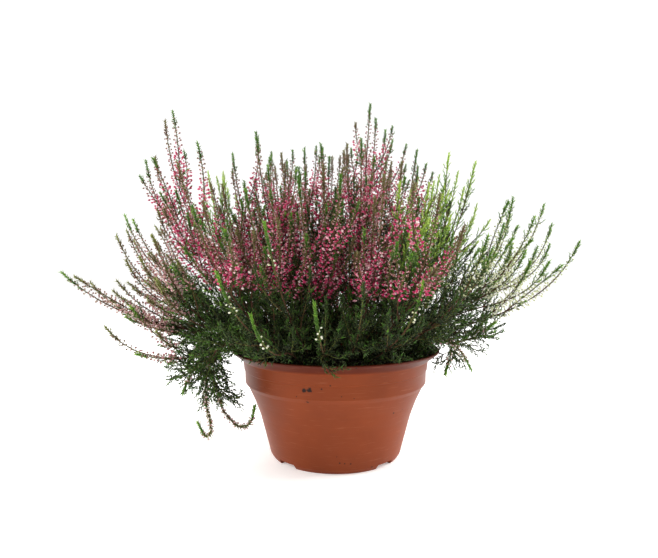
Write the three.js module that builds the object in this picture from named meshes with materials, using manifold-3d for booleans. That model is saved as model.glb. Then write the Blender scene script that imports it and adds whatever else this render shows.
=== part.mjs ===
// Bud-blooming heather in a flared plastic half pot.
// Millimetres, +Z up. -Y is the front. Everything is laid out from the pot's axis and the level it stands on.
// The finished plant is then moved so that the middle of its outline, at that level, is the origin.

import * as THREE from 'three';
import { mergeVertices } from 'three/addons/utils/BufferGeometryUtils.js';
import Module from 'manifold-3d';

const wasm = await Module();
wasm.setup();

// ---------------------------------------------------------------- driving dimensions

const SIDES_ROUND = 32;
const TURN = 2 * Math.PI;
const QUARTER = Math.PI / 2;
// No edge where two shoots meet may be shorter than this.
const SLIVER = 0.03;
const JOIN_TRIALS = 24;
const JOIN_TURN = 0.17;

// Pot wall as [radius, height]: foot, taper, flare, upright band with a fine step, lip.
const POT_OUTSIDE = [
  [57.8, 0], [61.2, 0], [63.4, 3.5], [66.3, 15], [72.9, 40], [77.8, 53.4], [84.2, 67.5],
  [87.2, 71.2], [87.5, 82.8], [88.3, 83.4], [89.4, 92.6], [99.4, 100.4], [100, 101.8],
];
const POT_INSIDE = [
  [98.6, 102.4], [88, 93.6], [86, 74], [82.4, 67.2], [75.9, 53.2], [70.9, 39.6], [62.4, 7],
];
const FLOOR_UNDERSIDE = 4.5;
const FLOOR_EDGE = 57.6;
const FLOOR_TOP = 6.5;
const DRAIN_HOLES = 4;
const DRAIN_RADIUS = 5;
const DRAIN_SIDES = 8;
const DRAIN_RING = 36;
const NOTCHES = 4;
const NOTCH_WIDTH = 20;
const NOTCH_LONG = 30;
const NOTCH_HEIGHT = 4.2;

// Peat, which fills the pot from its floor.
const PEAT_UP = 88;
const PEAT_GAP = 0.45;
const PEAT_LUMP = 1.5;
// Turns of the lumps' waves in radians a millimetre, and how much of the height the narrow ones have.
const BROAD_LUMPS = [0.13, 0.11];
const NARROW_LUMPS = 0.23;
const NARROW_SHARE = 0.4;
const PEAT_RINGS = [66, 33];
const PEAT_BRIM = 0.6;
const ROOT_DEPTH = 10;
const HOLE_GAP = 0.8;

// How the stems spread. A direction is a flat vector whose length is the lean from upright over 90 degrees,
// seen from a point on the axis below the peat's surface.
const FOCUS_UP = 60;
const BASE_REACH = 66;
const BASE_SPREAD = 0.75;
const WIDEST = 0.8;
const START_LEAN = 1.15;
const MOST_START_LEAN = 0.87;
const END_LEAN = 0.4;
const START_HANDLE = 0.35;
const END_HANDLE = 0.45;
const LOW_SWAY = 0.03;
const HIGH_SWAY = 0.05;
const SIDE_TOWARDS_TIP = 0.6;
const POINT_SPACING = 9.5;
const LONGER_THAN_CHORD = 1.05;
const FEWEST_POINTS = 5;

// How sprays keep clear of each other and of the pot.
const CLEARANCE = 6.5;
const POT_CLEARANCE = 10;
const BEND_ROUNDS = 14;
const FIXED_POINTS = 3;
const POT_MARGIN = 1;
const HALF_GAP = 0.4;

// Shoots: a stem under its covering of buds and of leafy side twigs.
const STEM_RADIUS_LOW = 1.7;
const STEM_RADIUS_HIGH = 1.35;
const STEM_TAPER = 220;
const GREEN_TIP = 18;
const BUDDED = 112;
const TIP_REACH = 3.2;
const BUD_REACH = 5.6;
const TWIG_REACH = 15;
const TWIG_RISE = 0.45;
const YOUNG_TWIG_REACH = 4.5;
const YOUNG_TWIGS = 70;
const REACH_VARIES = [0.75, 1.1];
const BARE_STEM = 34;
const BARE_SIDE = 14;
const LEAST_REACH = 2.4;
const BUD_PLACE = 0.55;
const TWIG_PLACE = 0.85;
const CLOSE_RINGS = 2;
const WIDE_RINGS = 3;
const ROOT_RINGS = [0, 2];
const SIDE_RINGS = [0];
const STEM_RINGS_FROM = 4;
// Side shoots of the green sprays are leafy from lower down than those of the others.
const SIDE_RINGS_FROM = { pink: 5, pale: 4, cream: 5, green: 3 };

// Sprays set by hand: kind, the share of the stem's lean that is left at its tip, and the tips
// [across, back, up] of the stem and of its side shoots.
const PLACED = [
  ['pale', 0.7, [-250, -35, 176], [-217, 0, 157], [-205, -35, 150]],
  ['pale', 0.6, [-241, 5, 165], [-209, -10, 167], [-190, -25, 142]],
  ['pale', 0.5, [-190, -85, 132], [-178, -60, 147], [-150, -80, 128]],
  ['pale', 0.4, [-213, 0, 211], [-192, -32, 187], [-212, 25, 217]],
  ['pale', 0.4, [-170, -60, 190], [-147, -85, 170], [-154, -75, 208]],
  ['pale', 0.45, [-229, 65, 236], [-213, 45, 230], [-230, 95, 210]],
  ['pink', 0.2, [-169, 15, 325], [-194, 32, 289], [-172, -8, 285]],
  ['pink', 0.35, [-139, -50, 272], [-162, -35, 233]],
  ['pink', 0.35, [-109, -120, 228], [-109, -85, 234]],
  ['green', 0.3, [-140, 75, 285], [-152, 105, 268], [-131, 55, 256]],
  ['pink', 0.35, [-107, -15, 258]],
  ['pink', 0.35, [-104, 25, 294], [-110, 55, 282]],
  ['pink', 0.35, [-76, -75, 246]],
  ['pink', 0.3, [-75, -15, 307], [-61, -40, 271]],
  ['pink', 0.35, [-68, 55, 302], [-67, 85, 292]],
  ['pink', 0.35, [-52, -5, 289], [-49, 20, 287]],
  ['pink', 0.35, [-32, -75, 257], [3, -90, 256]],
  ['pink', 0.35, [-33, 70, 309]],
  ['pink', 0.35, [-14, -15, 296], [-11, -45, 271]],
  ['pink', 0.35, [-6, 30, 292], [-3, 70, 300]],
  ['pink', 0.35, [22, -50, 293], [11, -5, 298]],
  ['pink', 0.3, [35, 20, 343], [43, 45, 335]],
  ['pink', 0.3, [56, 75, 330], [60, 100, 306]],
  ['pink', 0.35, [37, -100, 254]],
  ['pink', 0.35, [61, -25, 277]],
  ['pink', 0.35, [82, 20, 297], [88, 50, 286]],
  ['green', 0.35, [77, -75, 251], [86, -50, 256]],
  ['green', 0.3, [121, 100, 285]],
  ['green', 0.3, [121, 10, 274], [122, -10, 256]],
  ['green', 0.35, [149, 60, 281], [163, 95, 251]],
  ['cream', 0.35, [119, -100, 206], [129, -80, 197]],
  ['pink', 0.35, [77, -120, 237], [96, -115, 211]],
  ['cream', 0.3, [151, -40, 220]],
  ['cream', 0.2, [179, 20, 250], [183, 42, 234]],
  ['cream', 0.4, [188, -15, 228], [186, -55, 186]],
  ['cream', 0.3, [234, 80, 249], [253, 105, 229], [231, 56, 204]],
  ['cream', 0.4, [240, 5, 205], [181, -25, 185], [209, 32, 201]],
  ['green', 0.6, [177, 15, 141], [146, -10, 132], [150, 30, 150]],
  ['green', 0.35, [-55, -120, 216]],
  ['green', 0.35, [-90, -125, 178]],
  ['green', 0.35, [-63, -140, 148]],
  ['green', 0.35, [-17, -135, 156]],
  ['green', 0.35, [64, -125, 171]],
];

// Sprays that trail over the lip: the points of the stem's way, then those of its side shoots,
// which start on the stem.
const TRAILING = [
  {
    stem: [[-54, -50, 88], [-73, -66, 111], [-93, -76, 116], [-107, -74, 101], [-112, -66, 68],
      [-109, -61, 40], [-114, -60, 33], [-121, -59, 45]],
    sides: [[[-107, -74, 101], [-122, -74, 92], [-130, -72, 74]]],
  },
  {
    stem: [[-63, -40, 88], [-81, -53, 112], [-99, -62, 113], [-107, -59, 91], [-101, -53, 58],
      [-95, -54, 48], [-84, -56, 40], [-75, -58, 45], [-71, -60, 60]],
    sides: [[[-99, -62, 113], [-112, -55, 99], [-109, -46, 76]]],
  },
  {
    stem: [[-73, -20, 88], [-94, -23, 112], [-116, -24, 116], [-132, -27, 101], [-138, -30, 86]],
    sides: [
      [[-116, -24, 116], [-123, -20, 98], [-124, -16, 73]],
      [[-116, -24, 116], [-136, -14, 116], [-149, -8, 106]],
    ],
  },
  {
    stem: [[64, -26, 88], [86, -34, 111], [102, -38, 113], [113, -41, 104], [122, -43, 88]],
    sides: [
      [[102, -38, 113], [122, -42, 116], [143, -44, 131]],
      [[102, -38, 113], [107, -29, 108], [106, -25, 95], [102, -26, 80]],
    ],
  },
];

// Sprays that fill the widest gaps between the others, on a sunflower's spiral of trial directions.
const FILLED = 10;
const FILLED_SHOOTS = 4;
const TRIAL_DIRECTIONS = 420;
const WIDTH_LIMIT = 0.78;
const FRONT_LIMIT = 0.64;
const FILL_REACH = 236;
const FILL_VARIES = [0.93, 1.05];
const SHORTER_IN_FRONT = 125;
const SHORTER_LOW_DOWN = 150;
const LOW_DOWN_FROM = 0.5;
const GREEN_IN_FRONT_OF = -0.3;
const GREEN_BELOW = 0.62;
const PALE_LEFT_OF = -150;
const CREAM_RIGHT_OF = 100;

// Side shoots.
const FAR_LEAN = 0.3;
const FAR_SHOOTS = 3;
const NEAR_SHOOTS = 2;
const SIDE_STEP = [0.075, 0.11];
const SIDE_LENGTH = [0.74, 0.93];
const SIDE_TRIALS = 16;
const FORK_PLACE = [0.31, 0.43];
const FORK_STEP = 0.07;

// Where each rule starts its seeded numbers.
const SEEDS = { fill: 9000, sides: 500, shapes: 100, trailing: 700 };

const COLOURS = {
  pot: 0x9a5236,
  peat: 0x2a1f18,
  pink: 0xb4567e,
  pale: 0xc79aa0,
  cream: 0xc9cfa4,
  green: 0x5f9a3c,
};

// ---------------------------------------------------------------- small helpers

const UP = new THREE.Vector3(0, 0, 1);

/** Seeded numbers, the same on every machine. */
class Draw {
  constructor(seed) {
    this.state = seed >>> 0;
  }

  between(low, high) {
    this.state = (Math.imul(this.state, 1664525) + 1013904223) >>> 0;
    return low + (high - low) * this.state / 4294967296;
  }
}

function mix(a, b, share) {
  return a + (b - a) * share;
}

function toHundredth(length) {
  return Math.round(100 * length) / 100;
}

function vector([x, y, z]) {
  return new THREE.Vector3(x, y, z);
}

/** Closed mesh with shared vertices, made a solid for joining and cutting. */
function solidOf(geometry) {
  const plain = geometry.clone();
  plain.deleteAttribute('normal');
  plain.deleteAttribute('uv');
  const merged = mergeVertices(plain, 1e-4);
  const mesh = new wasm.Mesh({
    numProp: 3,
    vertProperties: new Float32Array(merged.attributes.position.array),
    triVerts: new Uint32Array(merged.index.array),
  });
  return new wasm.Manifold(mesh);
}

function geometryOf(solid) {
  const { vertProperties, triVerts } = solid.getMesh();
  const geometry = new THREE.BufferGeometry();
  geometry.setAttribute('position', new THREE.BufferAttribute(new Float32Array(vertProperties), 3));
  geometry.setIndex(new THREE.BufferAttribute(new Uint32Array(triVerts), 1));
  geometry.computeVertexNormals();
  return geometry;
}

/** Body of revolution about Z from [radius, height] points that run from the axis out and back. */
function turned(profile) {
  const points = profile.map(([radius, height]) => new THREE.Vector2(radius, height));
  const geometry = new THREE.LatheGeometry(points, SIDES_ROUND);
  geometry.rotateX(QUARTER);
  return geometry;
}

function named(name, geometry, colour, roughness) {
  const material = new THREE.MeshStandardMaterial({ color: colour, roughness, metalness: 0 });
  const mesh = new THREE.Mesh(geometry, material);
  mesh.name = name;
  return mesh;
}

// ---------------------------------------------------------------- pot

function potSolid() {
  const wall = turned([
    [0, FLOOR_UNDERSIDE], [FLOOR_EDGE, FLOOR_UNDERSIDE], ...POT_OUTSIDE, ...POT_INSIDE, [0, FLOOR_TOP],
  ]);
  let pot = solidOf(wall);
  for (let i = 0; i < DRAIN_HOLES; i++) {
    const hole = new THREE.CylinderGeometry(DRAIN_RADIUS, DRAIN_RADIUS, 2 * FLOOR_TOP, DRAIN_SIDES);
    hole.rotateX(QUARTER);
    hole.translate(DRAIN_RING, 0, FLOOR_TOP);
    hole.rotateZ((i * TURN) / DRAIN_HOLES);
    pot = pot.subtract(solidOf(hole));
  }
  for (let i = 0; i < NOTCHES; i++) {
    const notch = new THREE.BoxGeometry(NOTCH_LONG, NOTCH_WIDTH, 2 * NOTCH_HEIGHT);
    notch.translate(POT_OUTSIDE[1][0], 0, 0);
    notch.rotateZ(((i + 0.5) * TURN) / NOTCHES);
    pot = pot.subtract(solidOf(notch));
  }
  return pot;
}

/** Vector from the nearest point of the pot's wall to a point, taken in the plane through the axis. */
function awayFromPot(point) {
  const wall = [...POT_OUTSIDE, ...POT_INSIDE];
  const around = Math.hypot(point.x, point.y);
  let nearest = null;
  for (let i = 1; i < wall.length; i++) {
    const [r0, z0] = wall[i - 1];
    const [r1, z1] = wall[i];
    const long = (r1 - r0) ** 2 + (z1 - z0) ** 2;
    const share = ((around - r0) * (r1 - r0) + (point.z - z0) * (z1 - z0)) / long;
    const clamped = Math.min(1, Math.max(0, share));
    const across = around - mix(r0, r1, clamped);
    const rise = point.z - mix(z0, z1, clamped);
    const gap = Math.hypot(across, rise);
    if (!nearest || gap < nearest.gap) nearest = { gap, across, rise };
  }
  const out = new THREE.Vector3(point.x, point.y, 0).divideScalar(Math.max(around, 1e-6));
  out.multiplyScalar(nearest.across);
  out.z = nearest.rise;
  return out;
}

// ---------------------------------------------------------------- how the stems run

function directionOf(tip) {
  const across = Math.hypot(tip.x, tip.y);
  const lean = Math.atan2(across, tip.z - FOCUS_UP) / QUARTER;
  return new THREE.Vector2(tip.x, tip.y).multiplyScalar(lean / Math.max(across, 1e-6));
}

/** Unit vector that leans from upright by an angle, the way a direction points. */
function leaning(direction, angle) {
  const flat = direction.clone().normalize().multiplyScalar(Math.sin(angle));
  return new THREE.Vector3(flat.x, flat.y, Math.cos(angle));
}

function leanOf(direction) {
  return direction.length() * QUARTER;
}

function reachOf(tip) {
  return Math.hypot(tip.x, tip.y, tip.z - FOCUS_UP);
}

function tipAt(direction, reach) {
  const tip = leaning(direction, leanOf(direction)).multiplyScalar(reach);
  tip.z += FOCUS_UP;
  return tip;
}

function pointsAlong(curve, from, to) {
  const count = Math.round((LONGER_THAN_CHORD * from.distanceTo(to)) / POINT_SPACING);
  return curve.getPoints(Math.max(FEWEST_POINTS, count));
}

/** Way of a spray's stem: out of the peat, over the lip where it leans far, and up again at its tip. */
function stemWay(tip, endLean, draw) {
  const direction = directionOf(tip);
  const lean = leanOf(direction);
  const radius = BASE_REACH * (direction.length() / WIDEST) ** BASE_SPREAD;
  const base = leaning(direction, QUARTER).multiplyScalar(radius);
  base.z = PEAT_UP;
  const chord = base.distanceTo(tip);
  const start = leaning(direction, Math.min(START_LEAN * lean, MOST_START_LEAN));
  const end = leaning(direction, endLean * lean);
  const sway = leaning(direction, QUARTER).cross(UP).multiplyScalar(draw.between(-1, 1) * chord);
  const second = base.clone().addScaledVector(start, START_HANDLE * chord).addScaledVector(sway, LOW_SWAY);
  const third = tip.clone().addScaledVector(end, -END_HANDLE * chord).addScaledVector(sway, HIGH_SWAY);
  const way = pointsAlong(new THREE.CubicBezierCurve3(base, second, third, tip), base, tip);
  return [base.clone().addScaledVector(start, -ROOT_DEPTH), ...way];
}

/** Way of a side shoot, from a point of the stem to its own tip. */
function sideWay(stem, share, tip, endLean) {
  const index = Math.round(share * (stem.length - 1));
  const fork = stem[index].clone();
  const along = stem[index + 1].clone().sub(stem[index - 1]).normalize();
  const chord = fork.distanceTo(tip);
  const direction = directionOf(tip);
  const towards = tip.clone().sub(fork).normalize();
  const start = along.addScaledVector(towards, SIDE_TOWARDS_TIP).normalize();
  const end = leaning(direction, endLean * leanOf(direction));
  const second = fork.clone().addScaledVector(start, START_HANDLE * chord);
  const third = tip.clone().addScaledVector(end, -END_HANDLE * chord);
  return pointsAlong(new THREE.CubicBezierCurve3(fork, second, third, tip), fork, tip);
}

/** Way through points set by hand. */
function handWay(points) {
  const places = points.map(vector);
  const curve = new THREE.CatmullRomCurve3(places, false, 'catmullrom', 0.5);
  let length = 0;
  for (let i = 1; i < places.length; i++) length += places[i].distanceTo(places[i - 1]);
  return curve.getPoints(Math.round(length / POINT_SPACING));
}

/** The way of one shoot, with the turn that its three sides start from. */
function wayOf(spray, points, isStem) {
  return { spray, points, isStem, turn: spray.draw.between(0, TURN) };
}

/** Moves the points of some ways until each is clear of the other sprays' ways and of the pot. */
function bendClear(moving, still) {
  for (let round = 0; round < BEND_ROUNDS; round++) {
    const others = [...moving, ...still];
    const pushes = moving.map((way) => way.points.map((point, i) => {
      const push = new THREE.Vector3();
      if (i < FIXED_POINTS) return push;
      for (const other of others) {
        if (other.spray === way.spray) continue;
        const share = still.includes(other) ? 1 : 0.5;
        for (const near of other.points) {
          const gap = point.distanceTo(near);
          if (gap > CLEARANCE) continue;
          push.addScaledVector(point.clone().sub(near), (share * (CLEARANCE - gap)) / gap);
        }
      }
      const away = awayFromPot(point);
      const gap = away.length();
      if (gap < POT_CLEARANCE) push.addScaledVector(away, (POT_CLEARANCE - gap) / gap);
      return push;
    }));
    moving.forEach((way, w) => way.points.forEach((point, i) => {
      if (i < FIXED_POINTS) return;
      const before = pushes[w][i - 1];
      const after = pushes[w][Math.min(i + 1, way.points.length - 1)];
      point.addScaledVector(pushes[w][i], 0.5).addScaledVector(before, 0.25).addScaledVector(after, 0.25);
    }));
  }
}

// ---------------------------------------------------------------- which sprays there are

function around(angle, length) {
  return new THREE.Vector2(length * Math.cos(angle), length * Math.sin(angle));
}

function nearestGap(direction, taken) {
  return Math.min(...taken.map((other) => direction.distanceTo(other)));
}

/** The trial direction that lies furthest from all that are taken, the first of equals. */
function roomiest(trials, taken) {
  let best = trials[0];
  for (const trial of trials) {
    if (nearestGap(trial, taken) > nearestGap(best, taken) + 1e-9) best = trial;
  }
  return best;
}

function fillReach(direction) {
  const towardsFront = Math.max(0, -direction.y) * SHORTER_IN_FRONT;
  const low = Math.max(0, direction.length() - LOW_DOWN_FROM) * SHORTER_LOW_DOWN;
  return FILL_REACH - towardsFront - low;
}

function fillKind(direction, tip) {
  if (direction.y < GREEN_IN_FRONT_OF || direction.length() > GREEN_BELOW) return 'green';
  if (tip.x < PALE_LEFT_OF) return 'pale';
  if (tip.x > CREAM_RIGHT_OF) return 'cream';
  return 'pink';
}

/** Adds sprays where the directions taken so far leave the widest gaps. */
function fillGaps(sprays, taken) {
  const trials = [];
  const goldenAngle = Math.PI * (3 - Math.sqrt(5));
  for (let i = 0; i < TRIAL_DIRECTIONS; i++) {
    const length = WIDTH_LIMIT * Math.sqrt((i + 0.5) / TRIAL_DIRECTIONS);
    const trial = around(i * goldenAngle, length);
    const tooFarForward = trial.y < 0 && Math.hypot(trial.x / WIDTH_LIMIT, trial.y / FRONT_LIMIT) > 1;
    if (!tooFarForward) trials.push(trial);
  }
  for (let n = 0; n < FILLED; n++) {
    const best = roomiest(trials, taken);
    const draw = new Draw(SEEDS.fill + n);
    const tip = tipAt(best, fillReach(best) * draw.between(...FILL_VARIES));
    sprays.push({ kind: fillKind(best, tip), endLean: END_LEAN, tips: [tip], shoots: FILLED_SHOOTS });
    taken.push(best);
  }
}

/** Gives each spray its number of shoots, each new one turned to where there is most room for it. */
function addSideTips(sprays, taken) {
  sprays.forEach((spray, n) => {
    const draw = new Draw(SEEDS.sides + n);
    const main = directionOf(spray.tips[0]);
    while (spray.tips.length < spray.shoots) {
      const step = draw.between(...SIDE_STEP);
      const trials = [];
      for (let i = 0; i < SIDE_TRIALS; i++) {
        trials.push(around((i * TURN) / SIDE_TRIALS, step).add(main));
      }
      const best = roomiest(trials, taken);
      spray.tips.push(tipAt(best, reachOf(spray.tips[0]) * draw.between(...SIDE_LENGTH)));
      taken.push(best);
    }
  });
}

function placedSpray([kind, endLean, ...places]) {
  const tips = places.map(vector);
  const leansFar = directionOf(tips[0]).length() > FAR_LEAN;
  return { kind, endLean, tips, shoots: leansFar ? FAR_SHOOTS : NEAR_SHOOTS };
}

/** Every spray with the ways of its stem and of its side shoots. */
function growSprays() {
  const sprays = PLACED.map(placedSpray);
  const taken = sprays.flatMap((spray) => spray.tips.map(directionOf));
  fillGaps(sprays, taken);
  addSideTips(sprays, taken);
  sprays.forEach((spray, n) => {
    spray.draw = new Draw(SEEDS.shapes + n);
    spray.ways = [wayOf(spray, stemWay(spray.tips[0], spray.endLean, spray.draw), true)];
  });
  for (const { stem } of TRAILING) {
    const spray = { kind: 'green', trailing: true, draw: new Draw(SEEDS.trailing + sprays.length) };
    const way = handWay(stem);
    const start = way[1].clone().sub(way[0]).normalize();
    way.unshift(way[0].clone().addScaledVector(start, -ROOT_DEPTH));
    spray.ways = [wayOf(spray, way, true)];
    sprays.push(spray);
  }
  const stems = sprays.map((spray) => spray.ways[0]);
  bendClear(stems, []);
  sprays.filter((spray) => !spray.trailing).forEach((spray) => {
    spray.tips.slice(1).forEach((tip, i) => {
      const share = spray.draw.between(...FORK_PLACE) + FORK_STEP * i;
      spray.ways.push(wayOf(spray, sideWay(spray.ways[0].points, share, tip, spray.endLean), false));
    });
  });
  sprays.filter((spray) => spray.trailing).forEach((spray, i) => {
    for (const side of TRAILING[i].sides) {
      const points = handWay(side);
      points[0].copy(nearestOf(spray.ways[0].points, points[0]));
      spray.ways.push(wayOf(spray, points, false));
    }
  });
  bendClear(sprays.flatMap((spray) => spray.ways.slice(1)), stems);
  return sprays;
}

function nearestOf(points, place) {
  return points.reduce((best, point) => (point.distanceTo(place) < best.distanceTo(place) ? point : best));
}

// ---------------------------------------------------------------- a shoot's solid

/** How far from its stem each point of a way may be covered before it meets a neighbour. */
function roomAlong(way, ways) {
  return way.points.map((point) => {
    let gap = Infinity;
    for (const other of ways) {
      if (other.spray === way.spray) continue;
      for (const near of other.points) gap = Math.min(gap, point.distanceTo(near));
    }
    const between = Math.sqrt(Math.max(0, gap ** 2 - (POINT_SPACING / 2) ** 2)) / 2 - HALF_GAP;
    const isOverPeat = Math.hypot(point.x, point.y) < POT_INSIDE[1][0];
    const overPeat = isOverPeat ? point.z - PEAT_UP - 2 * PEAT_LUMP : Infinity;
    return Math.min(between, awayFromPot(point).length() - POT_MARGIN, overPeat);
  });
}

/** Indices of the points that carry a ring, close together where there are buds. */
function ringPlaces(way, fromTip) {
  const places = [];
  let index = way.points.length - 2;
  while (index >= (way.isStem ? STEM_RINGS_FROM : SIDE_RINGS_FROM[way.spray.kind])) {
    places.unshift(index);
    index -= fromTip[index] < BUDDED || way.spray.trailing ? CLOSE_RINGS : WIDE_RINGS;
  }
  return [...(way.isStem ? ROOT_RINGS : SIDE_RINGS), ...places];
}

function lengthsFromTip(points) {
  const lengths = points.map(() => 0);
  for (let i = points.length - 2; i >= 0; i--) {
    lengths[i] = lengths[i + 1] + points[i].distanceTo(points[i + 1]);
  }
  return lengths;
}

/** Reach and rise of the bud or leafy twig that stands out at a distance from the tip. */
function coveringAt(kind, fromTip, draw) {
  const vary = draw.between(...REACH_VARIES);
  if (kind === 'green') {
    const grown = Math.min(1, fromTip / YOUNG_TWIGS);
    return { reach: mix(YOUNG_TWIG_REACH, TWIG_REACH, grown) * vary, rise: TWIG_RISE, place: TWIG_PLACE };
  }
  if (fromTip < GREEN_TIP) return { reach: TIP_REACH * vary, rise: 0, place: BUD_PLACE };
  if (fromTip < BUDDED) return { reach: BUD_REACH * vary, rise: 0, place: BUD_PLACE };
  return { reach: TWIG_REACH * vary, rise: TWIG_RISE, place: TWIG_PLACE };
}

/** Corners of the three-sided rings along a way, each ring turned 60 degrees past the one below it. */
function ringCorners({ points, isStem, turn: start }, rings, fromTip) {
  const across = new THREE.Vector3(1, 0, 0.1);
  let turn = start;
  return rings.map((place, r) => {
    const ahead = points[rings[r + 1] ?? points.length - 1];
    const behind = points[rings[Math.max(0, r - 1)]];
    const along = ahead.clone().sub(behind).normalize();
    across.addScaledVector(along, -across.dot(along)).normalize();
    const beside = along.clone().cross(across);
    const radius = mix(STEM_RADIUS_HIGH, STEM_RADIUS_LOW, Math.min(1, fromTip[place] / STEM_TAPER));
    if (!(isStem && r === 1)) turn += TURN / 6;
    return [0, 1, 2].map((k) => {
      const angle = turn + (k * TURN) / 3;
      const corner = points[place].clone();
      corner.addScaledVector(across, radius * Math.cos(angle));
      return corner.addScaledVector(beside, radius * Math.sin(angle));
    });
  });
}

/** Closed three-sided tube along a way, with a bud or a leafy twig standing out on every second face. */
function shootSolid(way, ways) {
  const { points, spray, isStem } = way;
  const room = roomAlong(way, ways);
  const fromTip = lengthsFromTip(points);
  const rings = ringPlaces(way, fromTip);
  const corners = ringCorners(way, rings, fromTip);
  const bare = isStem ? BARE_STEM : BARE_SIDE;
  const triangles = [corners[0][0], corners[0][2], corners[0][1]];
  for (let r = 1; r < rings.length; r++) {
    const low = corners[r - 1];
    const high = corners[r];
    const [below, above] = [rings[r - 1], rings[r]];
    const along = points[above].clone().sub(points[below]).normalize();
    const isRoot = isStem && r === 1;
    const isBare = isRoot || fromTip[0] - fromTip[below] < bare;
    for (let k = 0; k < 3; k++) {
      const next = (k + 1) % 3;
      if (isRoot) {
        triangles.push(low[k], low[next], high[next], low[k], high[next], high[k]);
        continue;
      }
      triangles.push(low[next], high[next], high[k]);
      const covering = coveringAt(spray.kind, fromTip[above], spray.draw);
      const reach = Math.min(covering.reach, room[below], room[above]);
      if (isBare || reach < LEAST_REACH) {
        triangles.push(low[k], low[next], high[k]);
        continue;
      }
      const outward = high[k].clone().sub(points[above]).normalize();
      const spike = points[below].clone().lerp(points[above], covering.place);
      spike.addScaledVector(outward, reach).addScaledVector(along, reach * covering.rise);
      triangles.push(low[k], low[next], spike, low[next], high[k], spike, high[k], low[k], spike);
    }
  }
  const top = corners.at(-1);
  const tip = points.at(-1);
  triangles.push(top[0], top[1], tip, top[1], top[2], tip, top[2], top[0], tip);
  return solidOf(new THREE.BufferGeometry().setFromPoints(triangles));
}

function shortestEdge(solid) {
  const { vertProperties, triVerts } = solid.getMesh();
  const corner = (i) => new THREE.Vector3().fromArray(vertProperties, 3 * triVerts[i]);
  let shortest = Infinity;
  for (let i = 0; i < triVerts.length; i++) {
    const next = i % 3 === 2 ? i - 2 : i + 1;
    shortest = Math.min(shortest, corner(i).distanceTo(corner(next)));
  }
  return shortest;
}

/** A side shoot joined to its spray, turned on its own way until no sliver is left where they meet. */
function joinSide(whole, side, ways) {
  let best = null;
  for (let i = 0; i < JOIN_TRIALS && !(best?.sliver > SLIVER); i++) {
    const joined = whole.add(shootSolid(side, ways)).simplify(SLIVER);
    const sliver = shortestEdge(joined);
    if (!best || sliver > best.sliver) best = { joined, sliver };
    side.turn += JOIN_TURN;
  }
  return best.joined;
}

/** A spray's shoots as one body, with any hollow sealed between them filled. */
function spraySolid(spray, ways) {
  const [stem, ...sides] = spray.ways;
  const whole = sides.reduce((part, side) => joinSide(part, side, ways), shootSolid(stem, ways));
  const shells = whole.decompose();
  return shells.reduce((largest, shell) => (shell.volume() > largest.volume() ? shell : largest));
}

// ---------------------------------------------------------------- peat

/** Height of the peat's gentle lumps over its level. */
function lumpAt(x, y) {
  const broad = Math.sin(BROAD_LUMPS[0] * x + 1) * Math.cos(BROAD_LUMPS[1] * y);
  const narrow = Math.sin(NARROW_LUMPS * (x - y));
  return PEAT_LUMP * mix(broad, narrow, NARROW_SHARE);
}

/** Three-sided hole for a stem's foot, a little wider and deeper than the stem. */
function footHole(stem) {
  const points = stem.points;
  const fromTip = lengthsFromTip(points);
  const corners = ringCorners(stem, ringPlaces(stem, fromTip), fromTip);
  const along = points[ROOT_RINGS[1]].clone().sub(points[ROOT_RINGS[0]]).normalize();
  const [low, high] = ROOT_RINGS.map((place, end) => corners[end].map((corner) => {
    const outward = corner.clone().sub(points[place]).normalize();
    const beyond = end === 0 ? -HOLE_GAP : HOLE_GAP;
    return corner.clone().addScaledVector(outward, HOLE_GAP).addScaledVector(along, beyond);
  }));
  const triangles = [low[0], low[2], low[1], high[0], high[1], high[2]];
  for (let k = 0; k < 3; k++) {
    const next = (k + 1) % 3;
    triangles.push(low[k], low[next], high[next], low[k], high[next], high[k]);
  }
  return solidOf(new THREE.BufferGeometry().setFromPoints(triangles));
}

function peatSolid(stems) {
  const sides = [...POT_INSIDE].reverse().filter(([, height]) => height < PEAT_UP);
  const brim = mix(sides.at(-1)[0], POT_INSIDE[1][0], PEAT_BRIM);
  const profile = [
    [0, FLOOR_TOP + PEAT_GAP],
    ...sides.map(([radius, height]) => [radius - PEAT_GAP, height + PEAT_GAP]),
    [brim - PEAT_GAP, PEAT_UP],
    ...PEAT_RINGS.map((radius) => [radius, PEAT_UP]),
    [0, PEAT_UP],
  ];
  const body = turned(profile);
  const position = body.attributes.position;
  for (let i = 0; i < position.count; i++) {
    const [x, y, z] = [position.getX(i), position.getY(i), position.getZ(i)];
    if (z > PEAT_UP - 0.1) position.setZ(i, z + lumpAt(x, y));
  }
  return stems.reduce((peat, stem) => peat.subtract(footHole(stem)), solidOf(body)).simplify(SLIVER);
}

// ---------------------------------------------------------------- the whole plant

const sprays = growSprays();
const stems = sprays.map((spray) => spray.ways[0]);
const ways = sprays.flatMap((spray) => spray.ways);

const group = new THREE.Group();
group.add(named('pot', geometryOf(potSolid()), COLOURS.pot, 0.55));
group.add(named('peat', geometryOf(peatSolid(stems)), COLOURS.peat, 0.95));
sprays.forEach((spray, n) => {
  const number = String(n + 1).padStart(2, '0');
  const kind = spray.trailing ? 'trailing' : spray.kind;
  const geometry = geometryOf(spraySolid(spray, ways));
  group.add(named(`spray_${kind}_${number}`, geometry, COLOURS[spray.kind], 0.8));
});

const middle = new THREE.Box3().setFromObject(group).getCenter(new THREE.Vector3());
group.position.set(-toHundredth(middle.x), -toHundredth(middle.y), 0);

export default group;
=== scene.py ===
"""Dresses the potted heather: a bud-blooming heather in a flared plastic half pot.

Lengths are in millimetres until a mesh is made. +Z is up and -Y is the plant's front, as in the CAD frame.
The stems run where the CAD sprays run, by the same rules and the same seeded numbers. Each spray is then
clothed in buds, scale leaves and leafy twigs, and stands for its CAD node.
"""

import math

import bmesh
import bpy
import numpy as np
from mathutils import Matrix, Vector, noise


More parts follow.
